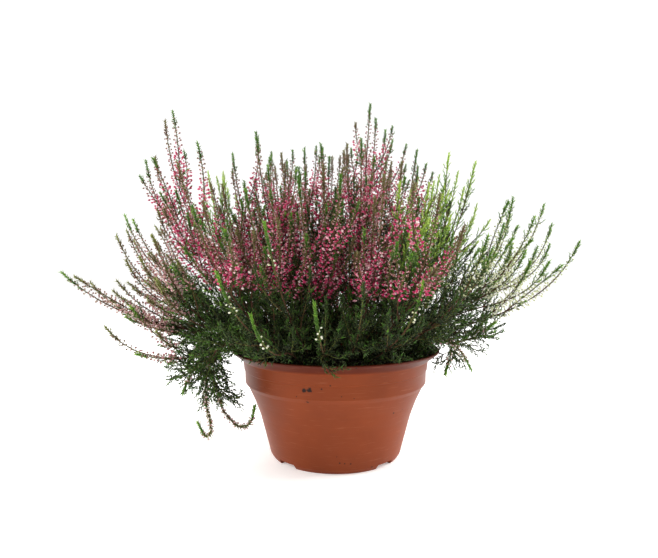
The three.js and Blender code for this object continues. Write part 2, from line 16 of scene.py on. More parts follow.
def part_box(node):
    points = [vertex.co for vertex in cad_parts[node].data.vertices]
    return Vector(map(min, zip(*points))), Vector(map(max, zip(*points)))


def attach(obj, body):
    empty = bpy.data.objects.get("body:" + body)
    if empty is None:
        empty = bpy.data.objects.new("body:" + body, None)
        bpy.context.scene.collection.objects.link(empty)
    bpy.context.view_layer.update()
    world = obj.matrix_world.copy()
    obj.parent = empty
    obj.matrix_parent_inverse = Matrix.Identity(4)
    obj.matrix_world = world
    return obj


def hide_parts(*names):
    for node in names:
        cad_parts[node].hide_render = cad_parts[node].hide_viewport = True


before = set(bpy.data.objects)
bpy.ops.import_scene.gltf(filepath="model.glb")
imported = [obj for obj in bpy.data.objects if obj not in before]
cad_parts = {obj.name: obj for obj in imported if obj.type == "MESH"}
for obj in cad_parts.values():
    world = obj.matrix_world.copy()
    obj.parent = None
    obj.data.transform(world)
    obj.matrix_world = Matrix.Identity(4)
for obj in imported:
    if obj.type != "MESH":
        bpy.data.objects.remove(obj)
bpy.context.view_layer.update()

# The plant is laid out from the pot's axis, which stands at this place of the frame.
POT_CORNERS = np.array(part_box("pot"))
AXIS = Vector((*POT_CORNERS.mean(axis=0)[:2], 0))

MM = 0.001
TURN = 2 * math.pi
QUARTER = math.pi / 2
UP = np.array([0.0, 0.0, 1.0])
GOLDEN = math.pi * (3 - math.sqrt(5))
ALMOST_NOTHING = 1e-9

# ---------------------------------------------------------------- the plant's driving dimensions

PEAT_UP = 88
ROOT_DEPTH = 10

# Leans are seen from a focus under the peat's top. The more a stem leans, the further out its foot.
FOCUS_UP = 60
BASE_REACH = 66
BASE_SPREAD = 0.75
WIDEST = 0.8

# How a stem bends: its leans as shares of its tip's lean, its handles and sway as shares of its chord.
START_LEAN = 1.15
MOST_START_LEAN = 0.87
END_LEAN = 0.4
START_HANDLE = 0.35
END_HANDLE = 0.45
LOW_SWAY = 0.03
HIGH_SWAY = 0.05
SIDE_TOWARDS_TIP = 0.6

# How finely a stem is drawn, and the room that it keeps to other sprays' stems and to the pot.
POINT_SPACING = 9.5
LONGER_THAN_CHORD = 1.05
FEWEST_POINTS = 5
CLEARANCE = 6.5
POT_CLEARANCE = 10
BEND_ROUNDS = 14
FIXED_POINTS = 3

# Sprays given one by one: kind, the share of the stem's lean that is left at its tip, and the tips
# (across, back, up) of the stem and of its side shoots.
PLACED = [
    ("pale", 0.7, (-250, -35, 176), (-217, 0, 157), (-205, -35, 150)),
    ("pale", 0.6, (-241, 5, 165), (-209, -10, 167), (-190, -25, 142)),
    ("pale", 0.5, (-190, -85, 132), (-178, -60, 147), (-150, -80, 128)),
    ("pale", 0.4, (-213, 0, 211), (-192, -32, 187), (-212, 25, 217)),
    ("pale", 0.4, (-170, -60, 190), (-147, -85, 170), (-154, -75, 208)),
    ("pale", 0.45, (-229, 65, 236), (-213, 45, 230), (-230, 95, 210)),
    ("pink", 0.2, (-169, 15, 325), (-194, 32, 289), (-172, -8, 285)),
    ("pink", 0.35, (-139, -50, 272), (-162, -35, 233)),
    ("pink", 0.35, (-109, -120, 228), (-109, -85, 234)),
    ("green", 0.3, (-140, 75, 285), (-152, 105, 268), (-131, 55, 256)),
    ("pink", 0.35, (-107, -15, 258)),
    ("pink", 0.35, (-104, 25, 294), (-110, 55, 282)),
    ("pink", 0.35, (-76, -75, 246)),
    ("pink", 0.3, (-75, -15, 307), (-61, -40, 271)),
    ("pink", 0.35, (-68, 55, 302), (-67, 85, 292)),
    ("pink", 0.35, (-52, -5, 289), (-49, 20, 287)),
    ("pink", 0.35, (-32, -75, 257), (3, -90, 256)),
    ("pink", 0.35, (-33, 70, 309)),
    ("pink", 0.35, (-14, -15, 296), (-11, -45, 271)),
    ("pink", 0.35, (-6, 30, 292), (-3, 70, 300)),
    ("pink", 0.35, (22, -50, 293), (11, -5, 298)),
    ("pink", 0.3, (35, 20, 343), (43, 45, 335)),
    ("pink", 0.3, (56, 75, 330), (60, 100, 306)),
    ("pink", 0.35, (37, -100, 254)),
    ("pink", 0.35, (61, -25, 277)),
    ("pink", 0.35, (82, 20, 297), (88, 50, 286)),
    ("green", 0.35, (77, -75, 251), (86, -50, 256)),
    ("green", 0.3, (121, 100, 285)),
    ("green", 0.3, (121, 10, 274), (122, -10, 256)),
    ("green", 0.35, (149, 60, 281), (163, 95, 251)),
    ("cream", 0.35, (119, -100, 206), (129, -80, 197)),
    ("pink", 0.35, (77, -120, 237), (96, -115, 211)),
    ("cream", 0.3, (151, -40, 220)),
    ("cream", 0.2, (179, 20, 250), (183, 42, 234)),
    ("cream", 0.4, (188, -15, 228), (186, -55, 186)),
    ("cream", 0.3, (234, 80, 249), (253, 105, 229), (231, 56, 204)),
    ("cream", 0.4, (240, 5, 205), (181, -25, 185), (209, 32, 201)),
    ("green", 0.6, (177, 15, 141), (146, -10, 132), (150, 30, 150)),
    ("green", 0.35, (-55, -120, 216)),
    ("green", 0.35, (-90, -125, 178)),
    ("green", 0.35, (-63, -140, 148)),
    ("green", 0.35, (-17, -135, 156)),
    ("green", 0.35, (64, -125, 171)),
]

# Sprays that trail over the lip: the points of the stem's way, then those of its side shoots.
TRAILING = [
    (
        [(-54, -50, 88), (-73, -66, 111), (-93, -76, 116), (-107, -74, 101), (-112, -66, 68),
         (-109, -61, 40), (-114, -60, 33), (-121, -59, 45)],
        [[(-107, -74, 101), (-122, -74, 92), (-130, -72, 74)]],
    ),
    (
        [(-63, -40, 88), (-81, -53, 112), (-99, -62, 113), (-107, -59, 91), (-101, -53, 58),
         (-95, -54, 48), (-84, -56, 40), (-75, -58, 45), (-71, -60, 60)],
        [[(-99, -62, 113), (-112, -55, 99), (-109, -46, 76)]],
    ),
    (
        [(-73, -20, 88), (-94, -23, 112), (-116, -24, 116), (-132, -27, 101), (-138, -30, 86)],
        [
            [(-116, -24, 116), (-123, -20, 98), (-124, -16, 73)],
            [(-116, -24, 116), (-136, -14, 116), (-149, -8, 106)],
        ],
    ),
    (
        [(64, -26, 88), (86, -34, 111), (102, -38, 113), (113, -41, 104), (122, -43, 88)],
        [
            [(102, -38, 113), (122, -42, 116), (143, -44, 131)],
            [(102, -38, 113), (107, -29, 108), (106, -25, 95), (102, -26, 80)],
        ],
    ),
]

# Sprays that fill the widest gaps between the others, on a sunflower's spiral of trial directions.
FILLED = 10
FILLED_SHOOTS = 4
TRIAL_DIRECTIONS = 420
WIDTH_LIMIT = 0.78
FRONT_LIMIT = 0.64
FILL_REACH = 236
FILL_VARIES = (0.93, 1.05)
SHORTER_IN_FRONT = 125
SHORTER_LOW_DOWN = 150
LOW_DOWN_FROM = 0.5
GREEN_IN_FRONT_OF = -0.3
GREEN_BELOW = 0.62
PALE_LEFT_OF = -150
CREAM_RIGHT_OF = 100
# Side shoots: their number, how far their tips stand from the stem's, their reach, and their forks.
FAR_LEAN = 0.3
FAR_SHOOTS = 3
NEAR_SHOOTS = 2
SIDE_STEP = (0.075, 0.11)
SIDE_LENGTH = (0.74, 0.93)
SIDE_TRIALS = 16
FORK_PLACE = (0.31, 0.43)
FORK_STEP = 0.07
SEEDS = {"fill": 9000, "sides": 500, "shapes": 100, "trailing": 700}

# Pot wall as (radius, height, rounding of the corner).
POT_OUTSIDE = [
    (57.8, 0, 0.4), (61.2, 0, 0.8), (63.4, 3.5, 1.5), (66.3, 15, 8), (72.9, 40, 10), (77.8, 53.4, 10),
    (84.2, 67.5, 4), (87.2, 71.2, 1.2), (87.5, 82.8, 0.25), (88.3, 83.4, 0.25), (89.4, 92.6, 1.2),
    (99.4, 100.4, 0.5), (100, 101.8, 0.5),
]
POT_INSIDE = [
    (98.6, 102.4, 0.5), (88, 93.6, 2), (86, 74, 3), (82.4, 67.2, 6), (75.9, 53.2, 8), (70.9, 39.6, 10),
    (62.4, 7, 0.4),
]
FLOOR_UNDERSIDE = 4.5
FLOOR_EDGE = 57.6
FLOOR_TOP = 6.5
DRAIN_HOLES = 4
DRAIN_RADIUS = 5
DRAIN_RING = 36
DRAIN_CUT = (1, 12)
DRAIN_SIDES = 32
NOTCHES = 4
NOTCH_WIDTH = 20
NOTCH_LONG = 30
NOTCH_HEIGHT = 4.2
NOTCH_ROUNDING = 1.2
POT_SIDES = 120

# ---------------------------------------------------------------- how the stems run


class Draw:
    """Seeded numbers, the same on every machine."""

    def __init__(self, seed):
        self.state = seed

    def between(self, low, high):
        self.state = (self.state * 1664525 + 1013904223) % 2**32
        return low + (high - low) * self.state / 2**32


class Spray:
    def __init__(self, kind, end_lean=END_LEAN, tips=(), shoots=0, trailing=False):
        self.kind = kind
        self.end_lean = end_lean
        self.tips = [np.array(tip, float) for tip in tips]
        self.shoots = shoots
        self.trailing = trailing
        self.ways = []


class Way:
    """The way of one stem or side shoot. Its turn is drawn to keep the CAD's order of seeded numbers."""

    def __init__(self, spray, points, is_stem):
        self.spray = spray
        self.points = points
        self.is_stem = is_stem
        self.turn = spray.draw.between(0, TURN)


def nearest_whole(number):
    return math.floor(number + 0.5)


def lengths_of(vectors):
    return np.linalg.norm(vectors, axis=-1)


def away_from_pot(points):
    """Vectors from the nearest point of the pot's wall to each point, in the plane through the axis."""
    wall = np.array([place[:2] for place in POT_OUTSIDE + POT_INSIDE])
    start = wall[:-1]
    leg = wall[1:] - start
    around = np.hypot(points[:, 0], points[:, 1])
    flat = np.stack([around, points[:, 2]], axis=-1)
    share = ((flat[:, None] - start) * leg).sum(-1) / (leg**2).sum(-1)
    apart = flat[:, None] - (start + leg * np.clip(share, 0, 1)[..., None])
    nearest = apart[np.arange(len(points)), lengths_of(apart).argmin(axis=1)]
    out = points[:, :2] / np.maximum(around, ALMOST_NOTHING)[:, None]
    return np.column_stack([out * nearest[:, :1], nearest[:, 1]])


def direction_of(tip):
    """Flat vector as long as the lean from upright over 90 degrees, seen from the focus under the peat."""
    across = math.hypot(tip[0], tip[1])
    lean = math.atan2(across, tip[2] - FOCUS_UP) / QUARTER
    return np.array(tip[:2], float) * (lean / max(across, ALMOST_NOTHING))


def leaning(direction, angle):
    """Unit vector that leans from upright by an angle, the way a direction points."""
    flat = direction / max(lengths_of(direction), ALMOST_NOTHING) * math.sin(angle)
    return np.array([flat[0], flat[1], math.cos(angle)])


def lean_of(direction):
    return lengths_of(direction) * QUARTER


def reach_of(tip):
    return math.hypot(tip[0], tip[1], tip[2] - FOCUS_UP)


def tip_at(direction, reach):
    return leaning(direction, lean_of(direction)) * reach + UP * FOCUS_UP


def bezier(corners, count):
    share = np.linspace(0, 1, count + 1)[:, None]
    rest = 1 - share
    first, second, third, last = corners
    return rest**3 * first + 3 * rest**2 * share * second + 3 * rest * share**2 * third + share**3 * last


def points_along(corners):
    count = nearest_whole(LONGER_THAN_CHORD * lengths_of(corners[3] - corners[0]) / POINT_SPACING)
    return bezier(corners, max(FEWEST_POINTS, count))


def stem_way(tip, end_lean, draw):
    """Way of a spray's stem: out of the peat, over the lip where it leans far, and up again at its tip."""
    direction = direction_of(tip)
    lean = lean_of(direction)
    outward = leaning(direction, QUARTER)
    base = outward * BASE_REACH * (lengths_of(direction) / WIDEST) ** BASE_SPREAD
    base[2] = PEAT_UP
    chord = lengths_of(tip - base)
    start = leaning(direction, min(START_LEAN * lean, MOST_START_LEAN))
    end = leaning(direction, end_lean * lean)
    sway = np.cross(outward, UP) * draw.between(-1, 1) * chord
    second = base + start * START_HANDLE * chord + sway * LOW_SWAY
    third = tip - end * END_HANDLE * chord + sway * HIGH_SWAY
    return np.vstack([base - start * ROOT_DEPTH, points_along([base, second, third, tip])])


def side_way(stem, share, tip, end_lean):
    """Way of a side shoot, from a point of the stem to its own tip."""
    index = nearest_whole(share * (len(stem) - 1))
    fork = stem[index]
    along = unit(stem[index + 1] - stem[index - 1])
    chord = lengths_of(tip - fork)
    direction = direction_of(tip)
    start = unit(along + unit(tip - fork) * SIDE_TOWARDS_TIP)
    end = leaning(direction, end_lean * lean_of(direction))
    second = fork + start * START_HANDLE * chord
    third = tip - end * END_HANDLE * chord
    return points_along([fork, second, third, tip])


def unit(vectors):
    return vectors / np.maximum(lengths_of(vectors), ALMOST_NOTHING)[..., None]


def through(places, count):
    """Smooth curve through places, at equal steps of its parameter."""
    ends = [2 * places[0] - places[1], *places, 2 * places[-1] - places[-2]]
    spots = np.linspace(0, len(places) - 1, count + 1)
    whole = np.minimum(spots.astype(int), len(places) - 2)
    share = (spots - whole)[:, None]
    before, low, high, after = (np.array(ends)[whole + k] for k in range(4))
    leave = 0.5 * (high - before)
    arrive = 0.5 * (after - low)
    cubic = 2 * low - 2 * high + leave + arrive
    square = 3 * high - 3 * low - 2 * leave - arrive
    return low + leave * share + square * share**2 + cubic * share**3


def hand_way(places):
    places = np.array(places, float)
    length = lengths_of(np.diff(places, axis=0)).sum()
    return through(places, nearest_whole(length / POINT_SPACING))


def bend_clear(moving, still):
    """Moves the points of some ways until each is clear of the other sprays' ways and of the pot."""
    ways = moving + still
    owners = np.concatenate([[id(way.spray)] * len(way.points) for way in ways])
    shares = [0.5] * len(moving) + [1] * len(still)
    share = np.concatenate([[part] * len(way.points) for part, way in zip(shares, ways)])
    for _ in range(BEND_ROUNDS):
        others = np.concatenate([way.points for way in ways])
        pushes = []
        for way in moving:
            apart = way.points[:, None] - others
            gaps = lengths_of(apart)
            close = (gaps < CLEARANCE) & (owners != id(way.spray))
            force = np.where(close, share * (CLEARANCE - gaps) / np.maximum(gaps, ALMOST_NOTHING), 0)
            push = (apart * force[..., None]).sum(axis=1)
            away = away_from_pot(way.points)
            gap = lengths_of(away)[:, None]
            push += away * np.maximum(0, POT_CLEARANCE - gap) / np.maximum(gap, ALMOST_NOTHING)
            push[:FIXED_POINTS] = 0
            pushes.append(push)
        # Half of a point's own push and a quarter of each neighbour's, so that the stem stays smooth.
        for way, push in zip(moving, pushes):
            before = push[FIXED_POINTS - 1 : -1]
            after = np.vstack([push[FIXED_POINTS + 1 :], push[-1:]])
            way.points[FIXED_POINTS:] += 0.5 * push[FIXED_POINTS:] + 0.25 * before + 0.25 * after


# ---------------------------------------------------------------- which sprays there are


def around(angle, length):
    return np.array([length * math.cos(angle), length * math.sin(angle)])


def roomiest(trials, taken):
    """The trial direction that lies furthest from all that are taken, the first of equals."""
    best, widest = None, -1
    for trial in trials:
        gap = lengths_of(np.array(taken) - trial).min()
        if gap > widest + ALMOST_NOTHING:
            best, widest = trial, gap
    return best


def fill_reach(direction):
    towards_front = max(0, -direction[1]) * SHORTER_IN_FRONT
    low = max(0, lengths_of(direction) - LOW_DOWN_FROM) * SHORTER_LOW_DOWN
    return FILL_REACH - towards_front - low


def fill_kind(direction, tip):
    if direction[1] < GREEN_IN_FRONT_OF or lengths_of(direction) > GREEN_BELOW:
        return "green"
    if tip[0] < PALE_LEFT_OF:
        return "pale"
    return "cream" if tip[0] > CREAM_RIGHT_OF else "pink"


def fill_gaps(sprays, taken):
    """Adds sprays where the directions taken so far leave the widest gaps."""
    trials = []
    for i in range(TRIAL_DIRECTIONS):
        trial = around(i * GOLDEN, WIDTH_LIMIT * math.sqrt((i + 0.5) / TRIAL_DIRECTIONS))
        if trial[1] >= 0 or math.hypot(trial[0] / WIDTH_LIMIT, trial[1] / FRONT_LIMIT) <= 1:
            trials.append(trial)
    for n in range(FILLED):
        best = roomiest(trials, taken)
        tip = tip_at(best, fill_reach(best) * Draw(SEEDS["fill"] + n).between(*FILL_VARIES))
        sprays.append(Spray(fill_kind(best, tip), tips=[tip], shoots=FILLED_SHOOTS))
        taken.append(best)


def add_side_tips(sprays, taken):
    """Gives each spray its number of shoots, each new one turned to where there is most room for it."""
    for n, spray in enumerate(sprays):
        draw = Draw(SEEDS["sides"] + n)
        main = direction_of(spray.tips[0])
        while len(spray.tips) < spray.shoots:
            step = draw.between(*SIDE_STEP)
            trials = [around(i * TURN / SIDE_TRIALS, step) + main for i in range(SIDE_TRIALS)]
            best = roomiest(trials, taken)
            spray.tips.append(tip_at(best, reach_of(spray.tips[0]) * draw.between(*SIDE_LENGTH)))
            taken.append(best)


def placed_spray(kind, end_lean, *tips):
    leans_far = lengths_of(direction_of(tips[0])) > FAR_LEAN
    return Spray(kind, end_lean, tips, FAR_SHOOTS if leans_far else NEAR_SHOOTS)


def grow_sprays():
    """Every spray with the ways of its stem and of its side shoots, as in the CAD model."""
    sprays = [placed_spray(*row) for row in PLACED]
    taken = [direction_of(tip) for spray in sprays for tip in spray.tips]
    fill_gaps(sprays, taken)
    add_side_tips(sprays, taken)
    for n, spray in enumerate(sprays):
        spray.draw = Draw(SEEDS["shapes"] + n)
        spray.ways.append(Way(spray, stem_way(spray.tips[0], spray.end_lean, spray.draw), True))
    for stem, _ in TRAILING:
        spray = Spray("green", trailing=True)
        spray.draw = Draw(SEEDS["trailing"] + len(sprays))
        points = hand_way(stem)
        root = points[0] - unit(points[1] - points[0]) * ROOT_DEPTH
        spray.ways.append(Way(spray, np.vstack([root, points]), True))
        sprays.append(spray)
    stems = [spray.ways[0] for spray in sprays]
    bend_clear(stems, [])
    for spray in sprays:
        for i, tip in enumerate(spray.tips[1:]):
            share = spray.draw.between(*FORK_PLACE) + FORK_STEP * i
            points = side_way(spray.ways[0].points, share, tip, spray.end_lean)
            spray.ways.append(Way(spray, points, False))
    for spray, (_, sides) in zip(sprays[-len(TRAILING) :], TRAILING):
        for side in sides:
            points = hand_way(side)
            stem = spray.ways[0].points
            points[0] = stem[lengths_of(stem - points[0]).argmin()]
            spray.ways.append(Way(spray, points, False))
    bend_clear([way for spray in sprays for way in spray.ways[1:]], stems)
    return sprays


# ---------------------------------------------------------------- paths

# A way that no stem runs along. The frames of every path start from it.
FRAME_START = (0.35, -0.8, 0.4)


def smooth(points, step):
    """A smooth curve through points, with a point at about every step."""
    length = lengths_of(np.diff(points, axis=0)).sum()
    return through(list(points), max(3, nearest_whole(length / step)))


class Path:
    """A line of points with frames along it that turn as little as they can, and its random draws."""

    def __init__(self, points, rng):
        self.points = points
        self.rng = rng
        legs = np.diff(points, axis=0)
        self.reached = np.concatenate([[0], np.cumsum(lengths_of(legs))])
        self.length = self.reached[-1]
        self.along = unit(np.vstack([legs[:1], legs[1:] + legs[:-1], legs[-1:]]))
        across = np.cross(self.along[0], unit(np.array(FRAME_START)))
        frames = []
        for along in self.along:
            across = unit(across - along * (across @ along))
            frames.append(across)
        self.across = np.array(frames)

    def at(self, distances):
        """Points, directions and sideways vectors at distances from the start."""
        tables = (self.points, self.along, self.across)
        return [
            np.column_stack([np.interp(distances, self.reached, column) for column in table.T])
            for table in tables
        ]

    def outward(self, distances, angles):
        """Points, directions and unit vectors square to the path, turned round it by angles."""
        points, along, across = self.at(distances)
        along = unit(along)
        across = unit(across - along * (across * along).sum(-1)[:, None])
        beside = np.cross(along, across)
        out = across * np.cos(angles)[:, None] + beside * np.sin(angles)[:, None]
        return points, along, out


# ---------------------------------------------------------------- organs, and the meshes made of them

FINISH_ORDER = ["bark", "leaf", "bronzed", "bud"]

# The map that a piece is baked through: its margins, and how far it runs with tone and round an organ.
MAP_SIDE = 0.02
MAP_LOW = 0.03
MAP_TONE = 0.88
MAP_ROUND = 0.06


def skin_of(rings):
    """Triangles between rings of corner numbers. A ring of one corner is a point."""
    faces = []
    for low, high in zip(rings, rings[1:]):
        for k in range(max(len(low), len(high))):
            a, b = low[k % len(low)], low[(k + 1) % len(low)]
            c, d = high[(k + 1) % len(high)], high[k % len(high)]
            if a != b:
                faces.append((a, b, c))
            if c != d:
                faces.append((a, c, d))
    return faces


class Organ:
    """A small closed body that is set many times: rings from its foot at 0 to its tip at 1."""

    def __init__(self, profile, sides, thin=1.0):
        corners, rings, self.turned = [], [], []
        for height, radius in profile:
            ring = range(sides if radius else 1)
            rings.append([len(corners) + k for k in ring])
            self.turned += [abs(2 * k / sides - 1) for k in ring]
            for k in ring:
                across, deep = math.cos(k * TURN / sides), thin * math.sin(k * TURN / sides)
                corners.append((radius * across, radius * deep, height))
        self.corners = np.array(corners, float)
        self.along = self.corners[:, 2]
        foot = [(rings[0][0], rings[0][k + 1], rings[0][k]) for k in range(1, len(rings[0]) - 1)]
        self.faces = np.array(skin_of(rings) + foot)


class Growth:
    """Gathers the bodies of one piece, then makes one mesh of them."""

    def __init__(self):
        self.parts = {name: [] for name in ("corners", "faces", "slots", "along", "tone", "turned")}
        self.count = 0

    def add(self, corners, faces, finish, along, tone, turned):
        """Adds corners and faces, with how far along and round its organ, and how pale, each corner is."""
        slots = np.full(len(faces), FINISH_ORDER.index(finish))
        values = (corners, faces + self.count, slots, along, tone, turned)
        for gathered, value in zip(self.parts.values(), values):
            gathered.append(value)
        self.count += len(corners)

    def set_many(self, organ, feet, ways, backs, lengths, widths, finish, tones):
        """Sets an organ at each foot, along its way, with its flat side turned to its back."""
        count, corners = len(feet), organ.corners[None, :, :, None]
        side = unit(np.cross(ways, backs))
        front = np.cross(side, ways)
        across = corners[:, :, 0] * side[:, None] + corners[:, :, 1] * front[:, None]
        broad, tall = (np.broadcast_to(size, count)[:, None, None] for size in (widths, lengths))
        placed = feet[:, None] + broad * across + tall * corners[:, :, 2] * ways[:, None]
        starts = np.arange(count)[:, None, None] * len(organ.corners)
        faces = (organ.faces[None] + starts).reshape(-1, 3)
        tone = np.repeat(np.clip(tones, 0, 1), len(organ.corners))
        along, turned = np.tile(organ.along, count), np.tile(organ.turned, count)
        self.add(placed.reshape(-1, 3), faces, finish, along, tone, turned)

    def add_tube(self, path, radii, sides, tones):
        """A stem along a path. Radii and tones hold one number for each of its rings."""
        rings = len(radii)
        stations = np.repeat(np.linspace(0, path.length, rings + 1)[:-1], sides)
        angles = np.tile(np.arange(sides) * TURN / sides, rings)
        points, _, out = path.outward(stations, angles)
        corners = np.vstack([points + out * np.repeat(radii, sides)[:, None], path.points[-1:]])
        order = np.arange(rings * sides).reshape(rings, sides).tolist()
        cap = [(0, k + 1, k) for k in range(1, sides - 1)]
        faces = np.array(cap + skin_of(order + [[rings * sides]]))
        along = np.append(stations / path.length, 1.0)
        tone = np.append(np.repeat(tones, sides), tones[-1])
        turned = np.append(np.tile(np.abs(np.linspace(-1, 1, sides + 1)[:-1]), rings), 0.5)
        self.add(corners, faces, "bark", along, tone, turned)

    def make(self, name, finishes):
        """The mesh object, smooth, with its finishes, its attributes and a map to bake it through."""
        corners, faces, slots, along, tone, turned = (np.concatenate(p) for p in self.parts.values())
        mesh = bpy.data.meshes.new(name)
        mesh.vertices.add(len(corners))
        mesh.vertices.foreach_set("co", (corners * MM).astype(np.float32).ravel())
        mesh.loops.add(faces.size)
        mesh.loops.foreach_set("vertex_index", faces.astype(np.int32).ravel())
        mesh.polygons.add(len(faces))
        mesh.polygons.foreach_set("loop_start", np.arange(len(faces), dtype=np.int32) * 3)
        mesh.polygons.foreach_set("material_index", slots.astype(np.int32))
        for finish in finishes:
            mesh.materials.append(finish)
        for attribute, values in (("along", along), ("tone", tone)):
            layer = mesh.attributes.new(attribute, "FLOAT", "POINT")
            layer.data.foreach_set("value", values.astype(np.float32))
        order = faces.ravel()
        up = np.repeat(slots, 3) + MAP_LOW + MAP_TONE * tone[order] + MAP_ROUND * turned[order]
        across = MAP_SIDE + (1 - 2 * MAP_SIDE) * along[order]
        flat = np.column_stack([across, up / len(FINISH_ORDER)])
        mesh.uv_layers.new(name="OFBake").data.foreach_set("uv", flat.astype(np.float32).ravel())
        mesh.update(calc_edges=True)
        mesh.shade_smooth()
        piece = bpy.data.objects.new(name, mesh)
        bpy.context.scene.collection.objects.link(piece)
        return piece


# A closed flower bud: a thin stalk, then four sepals that swell and close in a blunt point.
BUD = Organ([(0, 0), (0.46, 0.3), (0.72, 1), (1, 0)], 4)
# A scale leaf, broadest where it sits on the stem.
SCALE = Organ([(0, 1), (1, 0)], 3, thin=0.6)


# ---------------------------------------------------------------- where the fine shoots grow

STEP = 3.0
OPEN_TRIALS = 10

# Air is outside this radius of the peat or so far over it, and so far off the pot's wall.
PEAT_EDGE = 92
OVER_PEAT = 2.5
OFF_WALL = 1.6

# How a shoot bends: what its end keeps of its first way and gains upward, and its run in each way.
KEEPS_WAY = 0.25
TURNS_UP = 0.4
FIRST_RUN = 0.52
LAST_RUN = 0.44
SHOOT_POINTS = 6

# Racemes: their number, length, place down from the tip, lean in degrees and the room they may take.
RACEMES = {"pink": 6, "pale": 4, "cream": 2, "green": 4}
APART_FROM = {"pink": -150, "cream": 140}
APART_RACEMES = {"pink": 2, "cream": 1}
RACEME_LONG = (54, 84)
RACEME_FROM_TIP = {"pink": (56, 80), "pale": (78, 104), "cream": (82, 112), "green": (46, 72)}
RACEME_EVERY = 21
RACEME_LEAN = 40
RACEME_BEYOND = 4
RACEME_BESIDE = 0.9
RACEME_BELOW = 6
MIDDLE = 112

# Inner shoots: their number, place up from the foot, length and lean, and how near the middle they stay.
INNER = {"pink": 2, "pale": 2, "cream": 2, "green": 1}
INNER_FROM = 30
INNER_EVERY = 34
INNER_VARIES = 8
INNER_LONG = (60, 100)
INNER_LEAN = 26
INNER_RISE = 0.8
INNER_BELOW_TIP = 30
INNER_REACH = 0.8
INNER_MIDDLE = 82
INNER_BEHIND = -70
UPRIGHT = 0.3
MORE_INNER = 1

# Where there is light: above a line that rises to the sides, or far out of the middle.
LIT_UP = 146
LIT_RISE = 0.18
LIT_OUT = {"pink": 172, "pale": 148, "cream": 140}
SUNNY_UP = 190

# Leafy branchlets: their length, spacing and lean, and the stretches that they leave bare.
TWIG_LONG = (24, 40)
TWIG_EVERY = 11
TWIG_VARIES = 0.4
TWIG_LEAN = 58
LEAFY_FROM_TIP = {"pink": 92, "pale": 120, "cream": 92, "green": 92}
SHORTEST_LEAFY = 4
BARE = {"stem": 15, "side": 8}
TRAIL_TWIG_EVERY = 3.2
TRAIL_TWIG_LENGTH = 0.85
TRAIL_BARE_TIP = 0.36

# Shoots given one by one: the number of the spray that bears them, what they are, and their points.
HAND_SHOOTS = [
    (
        42, "branchlet",
        [(-14, -92, 112), (-13, -99, 109), (-10, -104, 104), (-3, -105, 100), (7, -104, 103)],
    ),
    (55, "branchlet", [(-104, -56, 78), (-97, -60, 70), (-87, -63, 67), (-79, -67, 73)]),
    (21, "raceme", [(14, -28, 142), (9, -33, 160), (5, -36, 185), (5, -38, 215), (6, -38, 240)]),
    (22, "inner", [(16, 11, 137), (12, 18, 155), (9, 22, 180), (8, 24, 205)]),
    (8, "raceme", [(-98, -42, 168), (-108, -46, 180), (-118, -50, 200), (-124, -52, 228)]),
    (8, "raceme", [(-118, -40, 185), (-134, -48, 197), (-144, -52, 212), (-150, -54, 232)]),
    (7, "raceme", [(-100, 0, 150), (-120, -15, 172), (-128, -20, 189), (-133, -24, 208), (-137, -26, 230)]),
    (7, "raceme", [(-125, -8, 190), (-138, -12, 212), (-145, -15, 235), (-150, -17, 252)]),
    (18, "inner", [(-24, 40, 135), (-20, 30, 155), (-19, 25, 180), (-19, 22, 205)]),
    (51, "inner", [(-1, 86, 130), (2, 70, 140), (3, 64, 152), (4, 62, 172)]),
]


class Shoot(Path):
    """A stem, a side shoot, a raceme, an inner shoot or a leafy branchlet of a spray."""

    def __init__(self, points, role, rng):
        super().__init__(smooth(points, STEP), rng)
        self.tip = self.points[-1]
        self.role = role


def clear_of_pot_and_peat(points):
    """True for points that lie in the open air."""
    across = np.hypot(points[:, 0], points[:, 1])
    over_peat = (across < PEAT_EDGE) & (points[:, 2] < PEAT_UP + OVER_PEAT)
    return (lengths_of(away_from_pot(points)) > OFF_WALL) & ~over_peat


def shoot_from(path, distance, angle, lean, length):
    """Points of a shoot that leaves a path at an angle round it, and bends to run up beside it."""
    start, along, out = (rows[0] for rows in path.outward(np.array([distance]), np.array([angle])))
    first = along * math.cos(lean) + out * math.sin(lean)
    last = unit(along + first * KEEPS_WAY + UP * TURNS_UP)
    tip = start + length * (FIRST_RUN * first + LAST_RUN * last)
    second, third = start + first * START_HANDLE * length, tip - last * START_HANDLE * length
    return bezier([start, second, third, tip], SHOOT_POINTS)


def in_the_open(path, distance, lean, length, taken, reach=math.inf, lowest=-math.inf):
    """The roomiest shoot at a place on a path whose tip is within reach and not too low, or None."""
    best, widest = None, 0
    turn, others = path.rng.uniform(0, TURN), np.concatenate(taken)
    for i in range(OPEN_TRIALS):
        angle = turn + i * TURN / OPEN_TRIALS
        points = shoot_from(path, distance, angle, math.radians(lean), length)
        if math.hypot(*points[-1][:2]) > reach or points[-1][2] < lowest:
            continue
        if not clear_of_pot_and_peat(points[2:]).all():
            continue
        gap = min(lengths_of(others - point).min() for point in points[3:])
        if gap > widest:
            best, widest = points, gap
    return best


def is_lit(points, kind):
    """Which points have light enough for a kind's buds: those high in the plant or far out of it."""
    is_high = points[:, 2] > LIT_UP + LIT_RISE * np.abs(points[:, 0])
    return is_high | (np.hypot(points[:, 0], points[:, 1]) > LIT_OUT[kind])


def bearing(shoots):
    """The stem and the side shoots of a spray, which bear the finer shoots."""
    return [shoot for shoot in shoots if shoot.role in ("stem", "side")]


def bear(parent, points, role, shoots, taken):
    """Adds a shoot that a parent bears, and the room that it takes."""
    shoots.append(Shoot(points, role, parent.rng))
    taken.append(points[2:])


